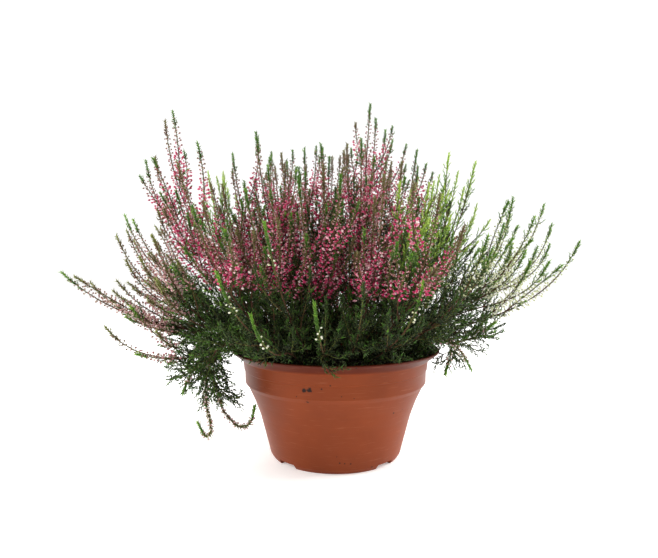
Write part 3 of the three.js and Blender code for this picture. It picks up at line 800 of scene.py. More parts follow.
def racemes_on(spray, parent):
    """How many racemes a stem or side shoot bears: few where it stands apart at the plant's side."""
    if spray.kind == "green" and (is_lone(spray) or parent.tip[2] < SUNNY_UP):
        return 0
    side = APART_FROM.get(spray.kind, math.inf)
    stands_apart = parent.tip[0] < side if side < 0 else parent.tip[0] > side
    return APART_RACEMES[spray.kind] if stands_apart else RACEMES[spray.kind]


def add_racemes(spray, shoots, taken):
    """Shoots that stand close beside the stem or side shoot that bears them, and hardly less tall."""
    for parent in bearing(shoots):
        for i in range(racemes_on(spray, parent)):
            back = parent.rng.uniform(*RACEME_FROM_TIP[spray.kind]) + RACEME_EVERY * i
            if back > parent.length - BARE["side"]:
                break
            where, length = parent.length - back, parent.rng.uniform(*RACEME_LONG)
            reach = max(math.hypot(*parent.tip[:2]) + RACEME_BEYOND, MIDDLE)
            beside = parent.at([where + RACEME_BESIDE * length])[0][0]
            points = in_the_open(parent, where, RACEME_LEAN, length, taken, reach, beside[2] - RACEME_BELOW)
            if points is not None:
                bear(parent, points, "raceme", shoots, taken)


def add_inner_shoots(spray, shoots, taken):
    """Leafy shoots that rise inside the plant, in the shade of the others."""
    for parent in bearing(shoots):
        more = MORE_INNER if lengths_of(direction_of(parent.tip)) < UPRIGHT else 0
        for i in range(0 if spray.trailing else INNER[spray.kind] + more):
            where = INNER_FROM + INNER_EVERY * i + parent.rng.uniform(-INNER_VARIES, INNER_VARIES)
            length = parent.rng.uniform(*INNER_LONG)
            if where + INNER_RISE * length > parent.length - INNER_BELOW_TIP:
                break
            reach = max(INNER_REACH * math.hypot(*parent.tip[:2]), INNER_MIDDLE)
            points = in_the_open(parent, where, INNER_LEAN, length, taken, reach)
            if points is not None and points[-1][1] > INNER_BEHIND:
                bear(parent, points, "inner", shoots, taken)


def add_branchlets(spray, shoots, taken):
    """Leafy branchlets low on each stem and side shoot, which make the dark green mass."""
    every = TRAIL_TWIG_EVERY if spray.trailing else TWIG_EVERY
    for parent in bearing(shoots):
        bare = BARE[parent.role]
        clear_tip = TRAIL_BARE_TIP * parent.length if spray.trailing else LEAFY_FROM_TIP[spray.kind]
        end = max(parent.length - clear_tip, bare + SHORTEST_LEAFY)
        for where in np.arange(bare, end, every):
            place = where + parent.rng.uniform(-TWIG_VARIES, TWIG_VARIES) * every
            length = parent.rng.uniform(*TWIG_LONG) * (TRAIL_TWIG_LENGTH if spray.trailing else 1)
            points = in_the_open(parent, place, TWIG_LEAN, length, taken)
            if points is not None and (spray.kind == "green" or not is_lit(points[-1:], spray.kind)[0]):
                bear(parent, points, "branchlet", shoots, taken)


def grow_shoots(sprays):
    """All shoots of each spray: its stem and side shoots as in the CAD model, then the finer ones."""
    grown = []
    for number, spray in enumerate(sprays, 1):
        grown.append([])
        for n, way in enumerate(spray.ways):
            rng = np.random.default_rng([number, n])
            grown[-1].append(Shoot(way.points, "stem" if way.is_stem else "side", rng))
    taken = [shoot.points[::2] for shoots in grown for shoot in shoots]
    for spray, shoots in zip(sprays, grown):
        add_racemes(spray, shoots, taken)
    for spray, shoots in zip(sprays, grown):
        add_inner_shoots(spray, shoots, taken)
        add_branchlets(spray, shoots, taken)
    for number, role, points in HAND_SHOOTS:
        stem = grown[number - 1][0]
        foot = stem.points[lengths_of(stem.points - np.array(points[0])).argmin()]
        grown[number - 1].append(Shoot(np.vstack([foot, points[1:]]), role, stem.rng))
    return grown


# ---------------------------------------------------------------- clothing the shoots

# The leafy tip of a budded shoot is at most so long and such a share of the shoot. Its full buds begin
# so many lengths of that leafy tip below the shoot's end.
TIP_GREEN = 18
TIP_SHARE = 0.17
TIP_VARIES = (0.75, 1.15)
FULL_FROM_TIP = 4
FULL_FROM_SIDE_TIP = 2.9
LEAVES_END = 0.3

# How far the budded stretch runs down, and how many of its ripe buds are lifted nearly white.
BUDDED = 112
BUDDED_VARIES = (0.9, 1.08)
WHITE_SHARE = 0.16
WHITE_LIFT = 0.36

# Stretches in mm: bare feet, and below the tip the places where leaves, twigs and buds begin and end.
BARE_RACEME = 3
BARE_LEAFY = 2
CREAM_TWIGS = (27, 3)
TIP_TWIGS_END = 4
LEAFY_TIP = 14
LEAFY_TOP = 70
LEAFY_TOP_SHARE = 0.6
LEAFY_END = 5
LONE_BEFORE = -100
LONE_TIP = 26
LONE_BUDS = (40, 24)
LONE_TWIGS = (66, 32)
LONE_DARK = 56
HOOK_TIP = 12
HOOK_BUDS = 10

# Leaves are old and in painted shade this near to the plant's focus, and get fresher over this much more.
DEEP = 80
FRESHER_AND_LESS_SHADED_OVER = 130

# Stems have a ring of corners at about every so many mm. Their radius starts at the tip, grows over
# the young end, and grows again over the old part. They are green, then red-brown, then grey-brown.
RING_EVERY = 10
TIP_RADIUS = 0.24
YOUNG_ADDS = 0.34
YOUNG_RADIUS = 0.58
YOUNG_LONG = 40
FOOT_RADIUS = {"stem": 1.7, "side": 0.85}
FINE_FOOT_RADIUS = 0.62
OLD_FROM = 90
OLD_OVER = 130
GREEN_LONG = 60
RED_LONG = 120

# How much the draws vary leaves, twigs and buds: in radians round a stem, degrees, tone and size.
LEAF_TURNS = 0.15
LEAF_LEANS = 7
LEAF_TONES = 0.07
LEAF_SIZES = (0.8, 1.2)
TWIG_PLACES = (0.1, 0.9)
TWIG_LEANS = 9
TWIG_TONES = 0.06
TWIG_SIZES = (0.65, 1.15)
BUD_TURNS = 0.3
BUD_LEANS = 12
BUD_TONES = 0.11
BUD_LENGTHS = (0.78, 1.15)
BUD_WIDTHS = (0.85, 1.12)

# Leafy twigs: the points and radii of the twig, its leafy stretch, and how its end turns up.
TWIG_POINTS = 5
TWIG_RADII = np.array([0.32, 0.2])
TWIG_BARK = np.array([0.55, 0.8])
TWIG_LEAFY = (0.12, 0.97)
TWIG_ALONG = 0.9
TWIG_UP = 0.35

# Scale leaves by where they sit: gap, length and width in mm, and how far they spread in degrees.
SCALES = {
    "budded tip": (0.5, 3.8, 1.9, 44),
    "budded stem": (1.0, 2.6, 1.3, 45),
    "leafy tip": (0.55, 3.2, 1.6, 34),
    "leafy stem": (1.5, 2.4, 1.1, 42),
    "lone tip": (0.5, 3.4, 1.7, 40),
    "lone stem": (1.4, 2.6, 1.2, 42),
    "hooked tip": (0.4, 4.2, 2.0, 42),
    "hook": (0.55, 4.4, 2.1, 52),
    "trailing stem": (1.2, 2.6, 1.2, 42),
    "branchlet": (1.3, 2.5, 1.2, 34),
    "old twig": (1.35, 3.8, 1.9, 38),
    "young twig": (0.85, 2.3, 1.25, 38),
}

# Leafy side twigs: gap, length at the start and the end of the stretch, lean in degrees, and leaves.
SPRIGS = {
    "cream tip": (3.2, (9, 5), 42, "young twig"),
    "budded tip": (4, (5.5, 3.5), 44, "young twig"),
    "budded foot": (4.2, (14, 10), 52, "old twig"),
    "shaded top": (3.2, (12.5, 3.5), 38, "old twig"),
    "sunny top": (2.5, (12.5, 3.5), 38, "young twig"),
    "leafy foot": (3.8, (13, 12.5), 50, "old twig"),
    "lone top": (4.4, (9, 4), 38, "young twig"),
    "lone foot": (3.4, (13, 11), 52, "old twig"),
    "trailing": (2.0, (15, 10), 50, "young twig"),
    "branchlet": (3.3, (12.5, 5), 46, "old twig"),
}

# Buds: gap, length and width at the start and the end of the stretch, lean in degrees, and droop.
BUDS = {
    "pink": ((0.78, 0.76), (7.4, 6.4), (2.5, 2.2), 66, 0.0),
    "pale": ((1.0, 0.95), (6.8, 6.2), (2.4, 2.2), 62, 0.05),
    "cream": ((1.1, 1.05), (5.8, 5.4), (2.2, 2.0), 72, 0.3),
    "lone": ((2.6, 3.0), (4.4, 4.0), (2.3, 2.0), 62, 0.1),
    "trailing": ((1.3, 1.3), (4.4, 3.8), (2.0, 1.8), 56, 0.1),
}

# How pale a kind's buds, unripe buds and tip leaves are, 0 to 1, and its share of bronzed tips.
TONES = {
    "pink": {"buds": (0.46, 0.54), "unripe": (0.22, 0.0), "tip": (0.44, 0.66), "bronzed": 0.35},
    "pale": {"buds": (0.6, 0.5), "unripe": (0.4, 0.1), "tip": (0.55, 0.85), "bronzed": 0.7},
    "cream": {"buds": (0.8, 0.66), "unripe": (0.66, 0.3), "tip": (0.55, 0.75), "bronzed": 0},
}

# Unripe buds are set less close, and shrink towards the tip.
UNRIPE_GAPS = (1.15, 1.5)
for kind in TONES:
    _, (_, top_long), (_, top_wide), bud_lean, _ = BUDS[kind]
    unripe_sizes = (0.86 * top_long, 0.5 * top_long), (top_wide, 0.85 * top_wide)
    BUDS["unripe " + kind] = (UNRIPE_GAPS, *unripe_sizes, bud_lean, 0)


def between(pair, share):
    return pair[0] + (pair[1] - pair[0]) * share


def freshness_and_light(point):
    """How much paler leaves are than at the heart, old and in painted shade: 0 there, 1 at the outside."""
    return float(np.clip((lengths_of(point - UP * FOCUS_UP) - DEEP) / FRESHER_AND_LESS_SHADED_OVER, 0, 1))


def leaning_out(along, out, degrees):
    """Ways that lean out from a path by angles, one for each."""
    lean = np.radians(degrees)[:, None]
    return along * np.cos(lean) + out * np.sin(lean)


def add_scales(growth, path, place, start, end, tones, finish="leaf"):
    """Scale leaves in crossed pairs along a stretch of a path. Tones are at its start and at its end."""
    rng, (gap, long, wide, spread) = path.rng, SCALES[place]
    count = max(2, nearest_whole((end - start) / gap))
    order, shares = np.arange(count), np.linspace(0, 1, count)
    ranks = (order % 2) * math.pi + (order // 2 % 2) * QUARTER + rng.normal(0, LEAF_TURNS, count)
    points, along, out = path.outward(between((start, end), shares), ranks)
    ways = leaning_out(along, out, spread + rng.normal(0, LEAF_LEANS, count))
    tone = between(tones, shares) + rng.normal(0, LEAF_TONES, count)
    lengths = long * rng.uniform(*LEAF_SIZES, count)
    growth.set_many(SCALE, points, ways, along, lengths, wide / 2, finish, tone)


def add_sprigs(growth, path, place, start, end, tones, finish="leaf"):
    """Leafy side twigs along a stretch of a path. Tones are at its start and at its end."""
    rng, (gap, long, lean, leaves) = path.rng, SPRIGS[place]
    count = nearest_whole((end - start) / gap)
    if count < 1:
        return
    shares = (np.arange(count) + rng.uniform(*TWIG_PLACES, count)) / count
    angles = np.arange(count) * GOLDEN + rng.uniform(0, TURN)
    points, along, out = path.outward(between((start, end), shares), angles)
    ways = leaning_out(along, out, lean + rng.normal(0, TWIG_LEANS, count))
    rises = unit(ways + along * TWIG_ALONG + UP * TWIG_UP)
    lengths = between(long, shares) * rng.uniform(*TWIG_SIZES, count)
    halfway = points + ways * 0.45 * lengths[:, None]
    tips = points + (ways + rises) * 0.5 * lengths[:, None]
    for i in np.flatnonzero(clear_of_pot_and_peat(tips) & clear_of_pot_and_peat(halfway)):
        tone = between(tones, shares[i]) + rng.normal(0, TWIG_TONES)
        share = np.linspace(0, 1, TWIG_POINTS)[:, None]
        bend = ways[i] * share + 0.5 * (rises[i] - ways[i]) * share**2
        sprig = Path(points[i] + lengths[i] * bend, rng)
        growth.add_tube(sprig, TWIG_RADII, 3, TWIG_BARK)
        low, high = (part * sprig.length for part in TWIG_LEAFY)
        add_scales(growth, sprig, leaves, low, high, (tone - 0.08, tone + 0.16), finish)


def add_buds(growth, path, place, start, end, tones):
    """Buds all round a stretch of a path. Tones are at its start and at its end."""
    rng, (gaps, long, wide, lean, droop) = path.rng, BUDS[place]
    count = nearest_whole((end - start) / (0.5 * (gaps[0] + gaps[1])))
    if count < 2:
        return
    shares = np.linspace(0, 1, count)
    crowd = np.cumsum(between(gaps, shares))
    angles = np.arange(count) * GOLDEN + rng.normal(0, BUD_TURNS, count)
    points, along, out = path.outward(between((start, end), crowd / crowd[-1]), angles)
    ways = unit(leaning_out(along, out, lean + rng.normal(0, BUD_LEANS, count)) - UP * droop)
    lengths = between(long, shares) * rng.uniform(*BUD_LENGTHS, count)
    widths = between(wide, shares) * rng.uniform(*BUD_WIDTHS, count)
    tone = between(tones, shares) + rng.normal(0, BUD_TONES, count)
    tone += WHITE_LIFT * (rng.uniform(0, 1, count) < WHITE_SHARE) * (tone > WHITE_LIFT)
    growth.set_many(BUD, points, ways, along, lengths, widths / 2, "bud", tone)


def clothe_stem(growth, shoot):
    """The woody stem under the leaves and buds, brown low down and green at its tip."""
    rings = max(4, nearest_whole(shoot.length / RING_EVERY))
    from_tip = shoot.length * (1 - np.arange(rings) / rings)
    thick = FOOT_RADIUS.get(shoot.role, FINE_FOOT_RADIUS)
    old = np.clip((from_tip - OLD_FROM) / OLD_OVER, 0, 1)
    radii = TIP_RADIUS + YOUNG_ADDS * np.minimum(1, from_tip / YOUNG_LONG) + (thick - YOUNG_RADIUS) * old
    red, brown = np.clip(from_tip / GREEN_LONG, 0, 1), np.clip((from_tip - GREEN_LONG) / RED_LONG, 0, 1)
    growth.add_tube(shoot, radii, 5 if shoot.role == "stem" else 4, 1 - red * 0.5 - brown * 0.5)


def clothe_budded(growth, shoot, kind):
    """A shoot with a leafy tip, small unripe buds, full buds below them and leafy twigs at the bottom."""
    rng, tip, tones = shoot.rng, shoot.length, TONES[kind]
    bare = BARE.get(shoot.role, BARE_RACEME)
    tip_long = min(TIP_GREEN, TIP_SHARE * tip) * rng.uniform(*TIP_VARIES)
    lit = shoot.reached[is_lit(shoot.points, kind)]
    low = max(tip - BUDDED * rng.uniform(*BUDDED_VARIES), bare + 0.1 * tip, *lit[:1])
    full = tip - (FULL_FROM_TIP if shoot.role == "stem" else FULL_FROM_SIDE_TIP) * tip_long
    finish = "bronzed" if rng.uniform() < tones["bronzed"] else "leaf"
    add_scales(growth, shoot, "budded tip", tip - tip_long, tip - LEAVES_END, tones["tip"], finish)
    if kind == "cream":
        low_twigs, high_twigs = (tip - below for below in CREAM_TWIGS)
    else:
        low_twigs, high_twigs = tip - 1.5 * tip_long, tip - TIP_TWIGS_END
    at_tip = "cream tip" if kind == "cream" else "budded tip"
    add_sprigs(growth, shoot, at_tip, low_twigs, high_twigs, tones["tip"], finish)
    on_stem = "leaf" if kind == "cream" else "bronzed"
    add_scales(growth, shoot, "budded stem", low, tip - tip_long, (0.25, tones["tip"][0]), on_stem)
    add_buds(growth, shoot, kind, low, full, tones["buds"])
    add_buds(growth, shoot, "unripe " + kind, full, tip - 0.6 * tip_long, tones["unripe"])
    # Twigs at the foot are darker deep inside the plant: older leaves and painted shade.
    dark = 0.16 + 0.26 * freshness_and_light(shoot.points[0])
    add_sprigs(growth, shoot, "budded foot", bare, low + 10, (dark, dark + 0.2))


def clothe_leafy(growth, shoot):
    """A shoot with hardly a flower: leafy twigs all the way, short at the tip, and dark where shaded."""
    tip = shoot.length
    bare, top = BARE.get(shoot.role, BARE_LEAFY), tip - min(LEAFY_TOP, LEAFY_TOP_SHARE * tip)
    is_shaded = shoot.role == "inner" or shoot.tip[2] < SUNNY_UP
    # Painted shade: the leaves and twigs of a shaded shoot are given darker tones.
    deep, bright = (0.16, 0.36) if is_shaded else (0.64, 1.0)
    add_scales(growth, shoot, "leafy tip", tip - LEAFY_TIP, tip - LEAVES_END, (bright - 0.12, bright))
    add_scales(growth, shoot, "leafy stem", bare, tip - LEAFY_TIP, (0.3, bright - 0.1))
    at_top = "shaded top" if is_shaded else "sunny top"
    add_sprigs(growth, shoot, at_top, top, tip - LEAFY_END, (deep, bright))
    add_sprigs(growth, shoot, "leafy foot", bare, top, (0.14, deep))


def clothe_lone(growth, shoot):
    """A slim bright shoot that stands alone in front: scale leaves at its tip, then a few cream buds."""
    tip, bare = shoot.length, BARE["stem"]
    add_scales(growth, shoot, "lone tip", tip - LONE_TIP, tip - LEAVES_END, (0.5, 0.78))
    add_scales(growth, shoot, "lone stem", bare, tip - LONE_TIP, (0.1, 0.5))
    add_buds(growth, shoot, "lone", *(tip - below for below in LONE_BUDS), (0.85, 0.75))
    # Painted shade: the twigs below the buds are given dark tones, the darkest at the foot.
    add_sprigs(growth, shoot, "lone top", *(tip - below for below in LONE_TWIGS), (0.22, 0.4))
    add_sprigs(growth, shoot, "lone foot", bare, tip - LONE_DARK, (0.12, 0.26))


def clothe_trailing(growth, shoot):
    """A shoot that hangs over the lip: leafy twigs, then a hooked end clad only in close scale leaves."""
    tip = shoot.length
    hook = (1 - TRAIL_BARE_TIP) * tip
    add_scales(growth, shoot, "hooked tip", tip - HOOK_TIP, tip - LEAVES_END, (0.62, 0.85))
    add_scales(growth, shoot, "hook", hook, tip - HOOK_TIP, (0.45, 0.85), "bronzed")
    add_scales(growth, shoot, "trailing stem", 4, hook, (0.2, 0.36))
    add_sprigs(growth, shoot, "trailing", 4, hook + 6, (0.3, 0.52))
    add_buds(growth, shoot, "trailing", hook - HOOK_BUDS, tip - HOOK_BUDS, (0.85, 0.6))


def clothe_branchlet(growth, shoot, kind):
    """A leafy branchlet, old and in painted shade inside the plant, and fresher towards its outside."""
    tip = shoot.length
    tone = 0.06 + 0.3 * freshness_and_light(shoot.tip) + (0.06 if kind == "green" else 0)
    add_scales(growth, shoot, "branchlet", 0.2 * tip, tip - LEAVES_END, (tone, tone + 0.15))
    add_sprigs(growth, shoot, "branchlet", 2, tip - 3, (tone, tone + 0.12))


def is_lone(spray):
    """Whether a spray is one of the listed green ones that stand in front of the others."""
    is_set_by_hand = spray.shoots in (NEAR_SHOOTS, FAR_SHOOTS)
    return spray.kind == "green" and is_set_by_hand and spray.tips[0][1] < LONE_BEFORE


def is_leafy(spray, shoot):
    """Whether a shoot bears no buds: one of a green spray, or one that stands in the shade."""
    return spray.kind == "green" or shoot.role == "inner" or not is_lit(shoot.points, spray.kind).any()


def clothe(spray, shoots):
    """One spray's growth: its shoots with all that they bear."""
    growth = Growth()
    for shoot in shoots:
        clothe_stem(growth, shoot)
        if shoot.role == "branchlet":
            clothe_branchlet(growth, shoot, spray.kind)
        elif spray.trailing:
            clothe_trailing(growth, shoot)
        elif shoot.role == "stem" and is_lone(spray):
            clothe_lone(growth, shoot)
        elif is_leafy(spray, shoot):
            clothe_leafy(growth, shoot)
        else:
            clothe_budded(growth, shoot, spray.kind)
    return growth


# ---------------------------------------------------------------- materials

# Sockets of a colour mix node.
FIRST, SECOND, MIXED = 6, 7, 2


def linear(colour):
    """sRGB hex turned to linear RGBA."""
    parts = [int(colour[i : i + 2], 16) / 255 for i in (1, 3, 5)]
    flat = [p / 12.92 if p <= 0.04045 else ((p + 0.055) / 1.055) ** 2.4 for p in parts]
    return (*flat, 1.0)


def add_node(tree, kind, inputs, stops=(), **settings):
    """Adds a node with its settings and its stops of colour. Inputs are values, or sockets to link."""
    made = tree.nodes.new("ShaderNode" + kind)
    for name, value in settings.items():
        setattr(made, name, value)
    for n, (place, colour) in enumerate(stops):
        elements = made.color_ramp.elements
        element = elements[n] if n < 2 else elements.new(place)
        element.position, element.color = place, linear(colour)
    set_inputs(tree, made, inputs)
    return made.outputs


def set_inputs(tree, made, inputs):
    for name, value in inputs.items():
        if isinstance(value, bpy.types.NodeSocket):
            tree.links.new(value, made.inputs[name])
        else:
            made.inputs[name].default_value = value


def new_finish(name):
    """A material, its node tree and its shader."""
    material = bpy.data.materials.new(name)
    material.use_nodes = True
    return material, material.node_tree, material.node_tree.nodes["Principled BSDF"]


def organ_finish(name, skins, zones, shader_inputs):
    """A skin coloured by tone. Zones along it run from colour to colour, where None is the skin."""
    material, tree, shader = new_finish(name)
    along, tone = (
        add_node(tree, "Attribute", {}, attribute_name=attribute)["Fac"] for attribute in ("along", "tone")
    )
    skin = add_node(tree, "ValToRGB", {"Fac": tone}, stops=skins)["Color"]
    for low, high, *colours in zones:
        share = add_node(tree, "MapRange", {"Value": along, "From Min": low, "From Max": high})["Result"]
        under, over = (linear(colour) if colour else skin for colour in colours)
        inputs = {"Factor": share, FIRST: under, SECOND: over}
        skin = add_node(tree, "Mix", inputs, data_type="RGBA")[MIXED]
    set_inputs(tree, shader, {"Base Color": skin, **shader_inputs})
    return material


def sepal_finish(name, stalk, foot, skins, point):
    """Dry, papery sepals: hardly a shine, bleached at their foot and point, on a thin reddish stalk."""
    zones = [(0.55, 0.66, foot, None), (0.4, 0.46, stalk, None), (0.86, 1.0, None, point)]
    return organ_finish(name, skins, zones, {"Roughness": 0.6, "Specular IOR Level": 0.2})


def leaf_finish(name, skins, point):
    """Heather's scale leaf, grown waxy and keeled: dark and dull when old, paler at its tip when young."""
    zones = [(0.5, 2.0, None, point)]
    return organ_finish(name, skins, zones, {"Roughness": 0.55, "Specular IOR Level": 0.25})


def bark_finish():
    """Heather wood: thin dull bark, grey-brown on old stems, red-brown then green on young ones."""
    material, tree, shader = new_finish("dull heather bark")
    tone = add_node(tree, "Attribute", {}, attribute_name="tone")["Fac"]
    skin = add_node(tree, "ValToRGB", {"Fac": tone}, stops=BARK)["Color"]
    set_inputs(tree, shader, {"Base Color": skin, "Roughness": 0.8, "IOR": 1.4})
    return material


# Colours from the darkest or oldest growth to the palest. Rose buds are bronze-green when unripe,
# crimson when full and nearly white at their palest.
BARK = [(0, "#4a382b"), (0.35, "#4f2f22"), (0.6, "#5b3a26"), (0.85, "#5d6a2c"), (1, "#6f8f3a")]
FRESH = [(0, "#0b0f07"), (0.3, "#1f320f"), (0.6, "#406a18"), (0.85, "#76a62e"), (1, "#b2ce54")]
BRONZE = [(0, "#2b2016"), (0.3, "#4d3424"), (0.55, "#675538"), (0.78, "#767a40"), (1, "#9aa658")]
ROSE = [
    (0, "#6c6440"), (0.22, "#84524a"), (0.35, "#a81e4d"), (0.64, "#cf3c6b"), (0.82, "#e2869b"),
    (1, "#faeae4"),
]
DUSTY = [(0, "#5f5a33"), (0.25, "#8a5f58"), (0.5, "#bb8089"), (0.72, "#dbb3b2"), (1, "#f0e2d8")]
IVORY = [(0, "#697c34"), (0.3, "#97a45c"), (0.55, "#c3ca94"), (0.8, "#e3e3c8"), (1, "#f4f2e4")]

# Peat that stuck to the pot's front: place on the wall and size. Its edge is ragged, and fades over
# the range that is given in sizes.
POT_SMUDGES = [((-22.5, -84.5, 79.6), 2.2), ((-27, -83, 79), 2.0), ((-24, -81, 69.5), 1.5)]
SMUDGE_RAGGED = 1.6
SMUDGE_FADES = (1.9, 1.45)


def pot_finish():
    """Injection-moulded polypropylene: dull satin, uneven in gloss, with peat specks and faint rubs."""
    material, tree, shader = new_finish("moulded polypropylene")
    place = add_node(tree, "TexCoord", {})["Object"]
    place = add_node(tree, "VectorMath", {0: place, 1: AXIS}, operation="SUBTRACT")["Vector"]
    # Patches of colour and gloss of 55 mm, swarms of 22 mm, ragged edges of 2 mm, and the mould's own
    # grain, which is finer than the 0.7 mm that it needs to show.
    cloud, sparse, ragged, grain = (
        add_node(tree, "TexNoise", {"Vector": place, "Scale": scale, "Detail": detail})["Fac"]
        for scale, detail in ((18.0, 4.0), (45.0, 2.0), (500.0, 3.0), (1400.0, 2.0))
    )
    body = add_node(tree, "ValToRGB", {"Fac": cloud}, stops=[(0.3, "#763211"), (0.7, "#873c18")])["Color"]
    # Painted shade: the lip's flared face, which faces down, is painted darker than the wall under it.
    height = add_node(tree, "SeparateXYZ", {"Vector": place})["Z"]
    lip = add_node(tree, "MapRange", {"Value": height, "From Min": 0.0925, "From Max": 0.0955})["Result"]
    # Rubs from other pots run round it, about 17 mm long and 1 mm high.
    round_about = add_node(tree, "Mapping", {"Vector": place, "Scale": (60.0, 60.0, 900.0)})["Vector"]
    rubs = add_node(tree, "TexNoise", {"Vector": round_about, "Scale": 1.0, "Detail": 5.0})["Fac"]
    rubbed = add_node(tree, "MapRange", {"Value": rubs, "From Min": 0.6, "From Max": 0.9})["Result"]
    # Specks of peat, at most one in each 5 mm, in loose swarms.
    dots = add_node(tree, "TexVoronoi", {"Vector": place, "Scale": 210.0})["Distance"]
    inputs = {"Value": sparse, "From Min": 0.5, "From Max": 0.8, "To Min": -0.05, "To Max": 0.3}
    size = add_node(tree, "MapRange", inputs)["Result"]
    speck = add_node(tree, "Math", {0: dots, 1: size}, operation="LESS_THAN")["Value"]
    coats = [(lip, "#521b07"), (rubbed, "#9c5c40"), (speck, "#2c1a12")]
    for spot, reach in POT_SMUDGES:
        inputs = {0: place, 1: [c * MM for c in spot]}
        gap = add_node(tree, "VectorMath", inputs, operation="DISTANCE")["Value"]
        inputs = {0: ragged, 1: reach * MM * SMUDGE_RAGGED, 2: gap}
        edge = add_node(tree, "Math", inputs, operation="MULTIPLY_ADD")["Value"]
        outer, inner = (reach * MM * share for share in SMUDGE_FADES)
        near = add_node(tree, "MapRange", {"Value": edge, "From Min": outer, "From Max": inner})["Result"]
        coats.append((near, "#24140e"))
    for share, colour in coats:
        inputs = {"Factor": share, FIRST: body, SECOND: linear(colour)}
        body = add_node(tree, "Mix", inputs, data_type="RGBA")[MIXED]
    inputs = {"Value": cloud, "From Min": 0.2, "From Max": 0.8, "To Min": 0.36, "To Max": 0.52}
    gloss = add_node(tree, "MapRange", inputs)["Result"]
    bump = add_node(tree, "Bump", {"Height": grain, "Strength": 0.12, "Distance": 0.0002})["Normal"]
    inputs = {"Roughness": gloss, "IOR": 1.49, "Specular IOR Level": 0.16, "Normal": bump}
    set_inputs(tree, shader, {"Base Color": body, **inputs})
    return material


def peat_finish():
    """Moist peat: near black and dull, with red-brown fibres and paler crumbs of about 3 mm."""
    material, tree, shader = new_finish("moist peat")
    place = add_node(tree, "TexCoord", {})["Object"]
    crumbs = add_node(tree, "TexNoise", {"Vector": place, "Scale": 350.0, "Detail": 6.0})["Fac"]
    stops = [(0.25, "#0f0a07"), (0.5, "#24160e"), (0.68, "#3d281a"), (0.85, "#6a4c33")]
    skin = add_node(tree, "ValToRGB", {"Fac": crumbs}, stops=stops)["Color"]
    bump = add_node(tree, "Bump", {"Height": crumbs, "Strength": 0.8, "Distance": 0.001})["Normal"]
    set_inputs(tree, shader, {"Base Color": skin, "Roughness": 0.9, "IOR": 1.4, "Normal": bump})
    return material


# ---------------------------------------------------------------- pot and peat

# How rounded corners are drawn: degrees for each straight piece, and the most of a side they take up.
ARC_STEP = 14
MOST_TRIM = 0.45
SHARP_FROM = 34


def rounded(profile):
    """Profile points with an arc of its own radius at each corner."""
    outline = []
    for i, (radius, height, rounding) in enumerate(profile):
        here = np.array([radius, height], float)
        if not rounding:
            outline.append(here)
            continue
        before = np.array(profile[i - 1][:2], float) - here
        after = np.array(profile[i + 1][:2], float) - here
        bend = math.pi - math.acos(np.clip(unit(before) @ unit(after), -1, 1))
        trim = min(rounding * math.tan(bend / 2), MOST_TRIM * min(lengths_of(before), lengths_of(after)))
        start, end = here + unit(before) * trim, here + unit(after) * trim
        for share in np.linspace(0, 1, max(2, math.ceil(math.degrees(bend) / ARC_STEP)) + 1):
            outline.append((1 - share) ** 2 * start + 2 * share * (1 - share) * here + share**2 * end)
    return np.array(outline)


def lathed(outline, sides):
    """A closed body of revolution, whose outline starts and ends on the axis."""
    build = bmesh.new()
    rings = []
    for radius, height in outline:
        turns = [k * TURN / sides for k in range(sides if radius > ALMOST_NOTHING else 1)]
        spots = [(radius * MM * math.cos(t), radius * MM * math.sin(t), height * MM) for t in turns]
        rings.append([build.verts.new(spot) for spot in spots])
    for low, high in zip(rings, rings[1:]):
        for k in range(sides):
            order = ((low, k), (low, k + 1), (high, k + 1), (high, k))
            ends = [ring[n % len(ring)] for ring, n in order]
            build.faces.new([end for n, end in enumerate(ends) if end is not ends[n - 1]])
    bmesh.ops.recalc_face_normals(build, faces=build.faces)
    return build


def piece_from(build, name, material):
    mesh = bpy.data.meshes.new(name)
    build.to_mesh(mesh)
    build.free()
    mesh.materials.append(material)
    piece = bpy.data.objects.new(name, mesh)
    bpy.context.scene.collection.objects.link(piece)
    return piece


def cut(piece, cutters):
    """Takes the cutters out of a piece and removes them."""
    for cutter in cutters:
        cutting = piece.modifiers.new("cut", "BOOLEAN")
        cutting.operation = "DIFFERENCE"
        cutting.solver = "EXACT"
        cutting.object = cutter
    ready = piece.evaluated_get(bpy.context.evaluated_depsgraph_get())
    mesh = bpy.data.meshes.new_from_object(ready)
    piece.modifiers.clear()
    piece.data = mesh
    for cutter in cutters:
        bpy.data.objects.remove(cutter)


